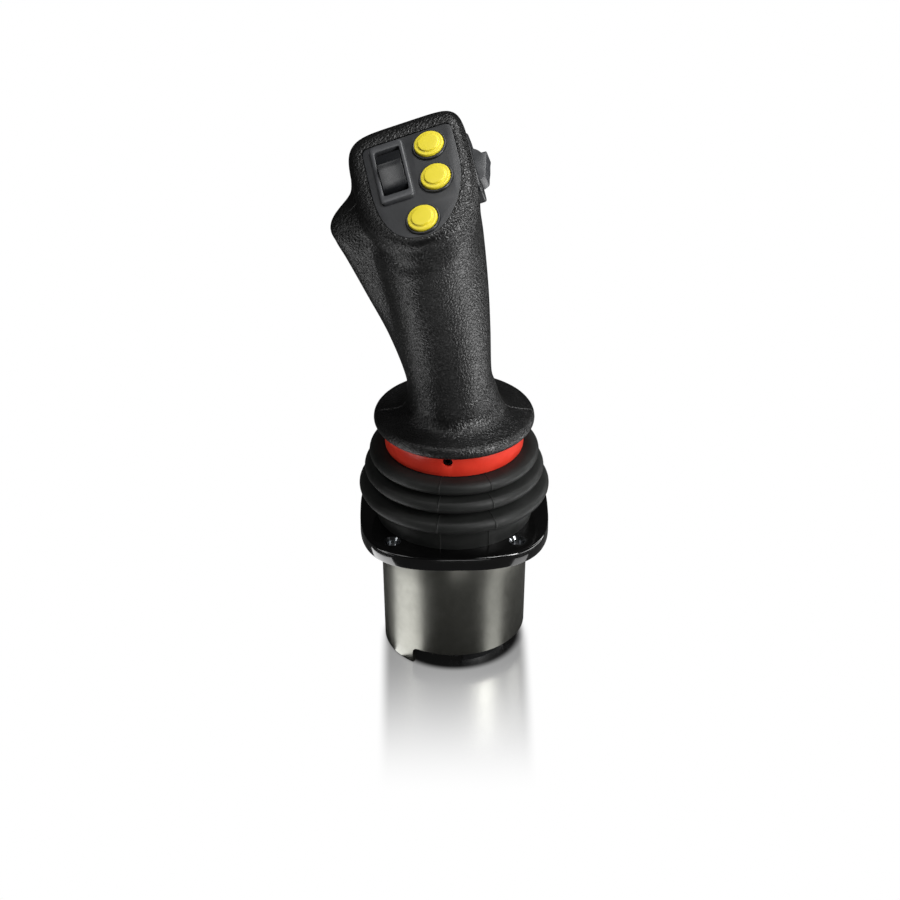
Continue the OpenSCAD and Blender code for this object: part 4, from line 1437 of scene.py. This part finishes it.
@dataclass(frozen=True)
class Lamp:
    """One rectangular area lamp, in metres."""

    name: str
    place: tuple[float, float, float]
    aim: tuple[float, float, float]
    size: Point
    watts: float
    seen: bool = True

    @staticmethod
    def lying(name: str, x: float, y: float, size: Point, watts: float) -> "Lamp":
        """Gives a lamp that lies just above the floor and shines upwards, unseen by the camera."""
        return Lamp(name, (x, y, -0.0645), (x, y, 1), size, watts, seen=False)

    def hang(self) -> None:
        """Puts the lamp into the scene, turned towards its aim."""
        data = bpy.data.lights.new(self.name, "AREA")
        data.shape = "RECTANGLE"
        data.size, data.size_y = self.size
        data.energy = self.watts
        obj = bpy.data.objects.new(self.name, data)
        obj.location = self.place
        obj.rotation_euler = (Vector(self.aim) - Vector(self.place)).to_track_quat("-Z", "Y").to_euler()
        obj.visible_camera = self.seen
        bpy.context.scene.collection.objects.link(obj)


LAMPS = (
    Lamp.lying("front_card", 0.03, -0.34, (0.10, 0.20), 0.22),
    Lamp.lying("right_far_card", 0.30, -0.05, (0.22, 0.26), 1.00),
    Lamp.lying("left_far_card", -0.30, -0.12, (0.18, 0.16), 0.40),
    Lamp("left_strip", (-0.50, -0.20, 0.10), (0, 0, -0.02), (0.10, 0.8), 0.7),
    Lamp("right_strip", (0.42, -0.34, 0.36), (0, 0, 0.13), (0.08, 0.5), 4.2),
    Lamp("right_rim", (0.55, 0.25, 0.20), (0, 0, 0.08), (0.10, 0.8), 1.6),
    Lamp("head_box", (-0.45, -0.16, 1.05), (-0.02, 0, 0.18), (0.30, 0.35), 1.3),
    Lamp("top_box", (0.10, 0.12, 1.0), (0, 0, 0.15), (0.40, 0.25), 5.8),
)
WHITE = (1, 1, 1, 1)


@dataclass
class Studio:
    """Pale floor, soft lamps and the camera."""

    floor_z: float = -65.0
    floor_half: float = 3000.0
    distance: float = 1.2
    elevation: float = 32.6
    azimuth: float = -0.75
    sensor_mm: float = 36.0
    lens_mm: float = 99.64
    shift: Point = (-0.0046, 0.0769)
    card_r: float = 36.5
    card_lift: float = 0.5

    def camera(self) -> None:
        """Places the camera at the chosen viewing angle."""
        data = bpy.data.cameras.new("camera")
        data.sensor_width = self.sensor_mm
        data.lens = self.lens_mm
        data.shift_x, data.shift_y = self.shift
        data.clip_start, data.clip_end = 0.05, 20.0
        data.dof.use_dof = False
        obj = bpy.data.objects.new("camera", data)
        e, a = math.radians(self.elevation), math.radians(self.azimuth)
        place = Vector((math.sin(a) * math.cos(e), -math.cos(a) * math.cos(e), math.sin(e))) * self.distance
        obj.location = place
        obj.rotation_euler = (-place).to_track_quat("-Z", "Y").to_euler()
        bpy.context.scene.collection.objects.link(obj)
        bpy.context.scene.camera = obj

    def mirror_share(self, tree: bpy.types.NodeTree, axes: bpy.types.NodeOutputs) -> Socket:
        """Gives how much the floor mirrors: a strip as wide as the can, which fades away from its foot."""
        side = maths(tree, "ABSOLUTE", axes["X"])
        within = smooth(tree, side, 1.0, 0.0, (0.031, 0.0375))
        away = smooth(tree, axes["Y"], 0.0, 0.7, (-0.13, -0.015))
        front = smooth(tree, axes["Y"], 1.0, 0.0, (-0.01, 0.01))
        return maths(tree, "MULTIPLY", maths(tree, "MULTIPLY", within, away), front)

    def floor(self) -> None:
        """Lays the floor, white to the camera, with a painted contact shadow round the can's foot and a soft
        sheen that fades away from the base, darkened near the base by painted shade.
        """
        bm = bmesh.new()
        bmesh.ops.create_grid(bm, x_segments=4, y_segments=4, size=self.floor_half)
        obj = as_object(bm, "floor", Matrix.Translation((0, 0, self.floor_z)))
        material, tree = bare_material("white_acrylic_floor")
        where = object_place(tree)
        flat: Links = {"Vector": where, "Scale": (1.0, 1.0, 0.0)}
        across = add_node(tree, "ShaderNodeMapping", links=flat).outputs["Vector"]
        apart = add_node(tree, "ShaderNodeVectorMath", {"operation": "LENGTH"}, {0: across}).outputs["Value"]
        # Painted shadow: the floor's glow dims to near black just outside the can's rim. Painted shade: the
        # sheen's colour darkens near the can's foot.
        shadow = smooth(tree, apart, 0.015, 1.0, (0.0305, 0.0355))
        under = smooth(tree, apart, 0.45, 1.0, (0.033, 0.055))
        glow = add_node(tree, "ShaderNodeEmission", links={"Color": WHITE, "Strength": shadow})
        gloss = add_node(tree, "ShaderNodeBsdfGlossy", links={"Color": under, "Roughness": 0.22})
        seen = mixed_shader(tree, self.mirror_share(tree, axes_of(tree, where)), glow, gloss)
        plain = add_node(tree, "ShaderNodeBsdfDiffuse", links={"Color": linear("#4a4a4a")})
        camera_ray = add_node(tree, "ShaderNodeLightPath").outputs["Is Camera Ray"]
        both = mixed_shader(tree, camera_ray, plain, seen)
        tree.links.new(both.outputs[0], tree.nodes["Material Output"].inputs["Surface"])
        obj.data.materials.append(material)

    def world(self) -> None:
        """Sets a white surround for the camera, and a soft level of light."""
        world = bpy.data.worlds.new("studio")
        world.use_nodes = True
        tree = world.node_tree
        seen = add_node(tree, "ShaderNodeBackground", links={"Color": WHITE, "Strength": 1.0})
        soft = add_node(tree, "ShaderNodeBackground", links={"Color": WHITE, "Strength": 0.02})
        camera_ray = add_node(tree, "ShaderNodeLightPath").outputs["Is Camera Ray"]
        both = mixed_shader(tree, camera_ray, soft, seen)
        tree.links.new(both.outputs[0], tree.nodes["World Output"].inputs["Surface"])
        bpy.context.scene.world = world

    def card(self, name: str, facing: float, half: float, length: float, glow: float) -> None:
        """Lays a bright fan-shaped card on the floor, which the can mirrors as an upright band.

        The card glows upwards only, so the floor doesn't mirror it, and the camera doesn't see it.

        Args:
            name: The card's name.
            facing: Heading of the part of the can that mirrors it, in degrees from +X.
            half: Half of the band's width, in degrees round the can.
            length: The card's length in millimetres.
            glow: Its brightness.
        """
        face, away = math.radians(facing), math.radians(2 * facing + 90)
        start = Vector((math.cos(face), math.sin(face))) * self.card_r
        ahead = Vector((math.cos(away), math.sin(away)))
        side = Vector((-ahead.y, ahead.x))
        bm = bmesh.new()
        corners = []
        for reach, turn in ((1.0, -1), (1.0, 1), (length, 1), (length, -1)):
            flat = start + ahead * reach + side * turn * math.radians(half) * (self.card_r + 2 * reach)
            corners.append(bm.verts.new((flat.x, flat.y, self.floor_z + self.card_lift)))
        bm.faces.new(corners)
        obj = as_object(bm, name, UPRIGHT)
        material, tree = bare_material(name)
        seen_from = add_node(tree, "ShaderNodeNewGeometry").outputs["Incoming"]
        above = maths(tree, "GREATER_THAN", axes_of(tree, seen_from)["Z"], 0.0)
        light = add_node(tree, "ShaderNodeEmission", links={"Color": WHITE, "Strength": glow})
        both = mixed_shader(tree, above, add_node(tree, "ShaderNodeBsdfTransparent"), light)
        tree.links.new(both.outputs[0], tree.nodes["Material Output"].inputs["Surface"])
        obj.data.materials.append(material)
        obj.visible_camera = False
        obj.visible_shadow = False

    def build(self) -> None:
        """Sets up the whole stage."""
        self.camera()
        self.floor()
        self.world()
        self.card("left_card", -132, 13, 110, 3.4)
        self.card("right_card", -56, 7, 110, 1.8)
        for lamp in LAMPS:
            lamp.hang()
        bpy.context.scene.view_settings.view_transform = "Standard"


def main() -> None:
    """Builds the stage and every sub-assembly in order."""
    Studio().build()
    plate = ControlPlate()
    assemblies: list[tuple[str, Callable[[], None]]] = [
        ("can", Can().build),
        ("flange", Flange().build),
        ("bellows", Bellows().build),
        ("collar", Collar().build),
        ("grip shells", GripShells().build),
        ("control plate", plate.build),
        ("push buttons", PushButtons(plate).build),
        ("face rocker", face_unit(plate).build),
        ("side rocker", side_unit().build),
        ("carried solids", CarriedNodes().build),
    ]
    for title, build in assemblies:
        LOG.info("building the %s", title)
        build()


if __name__ == "__main__":
    main()
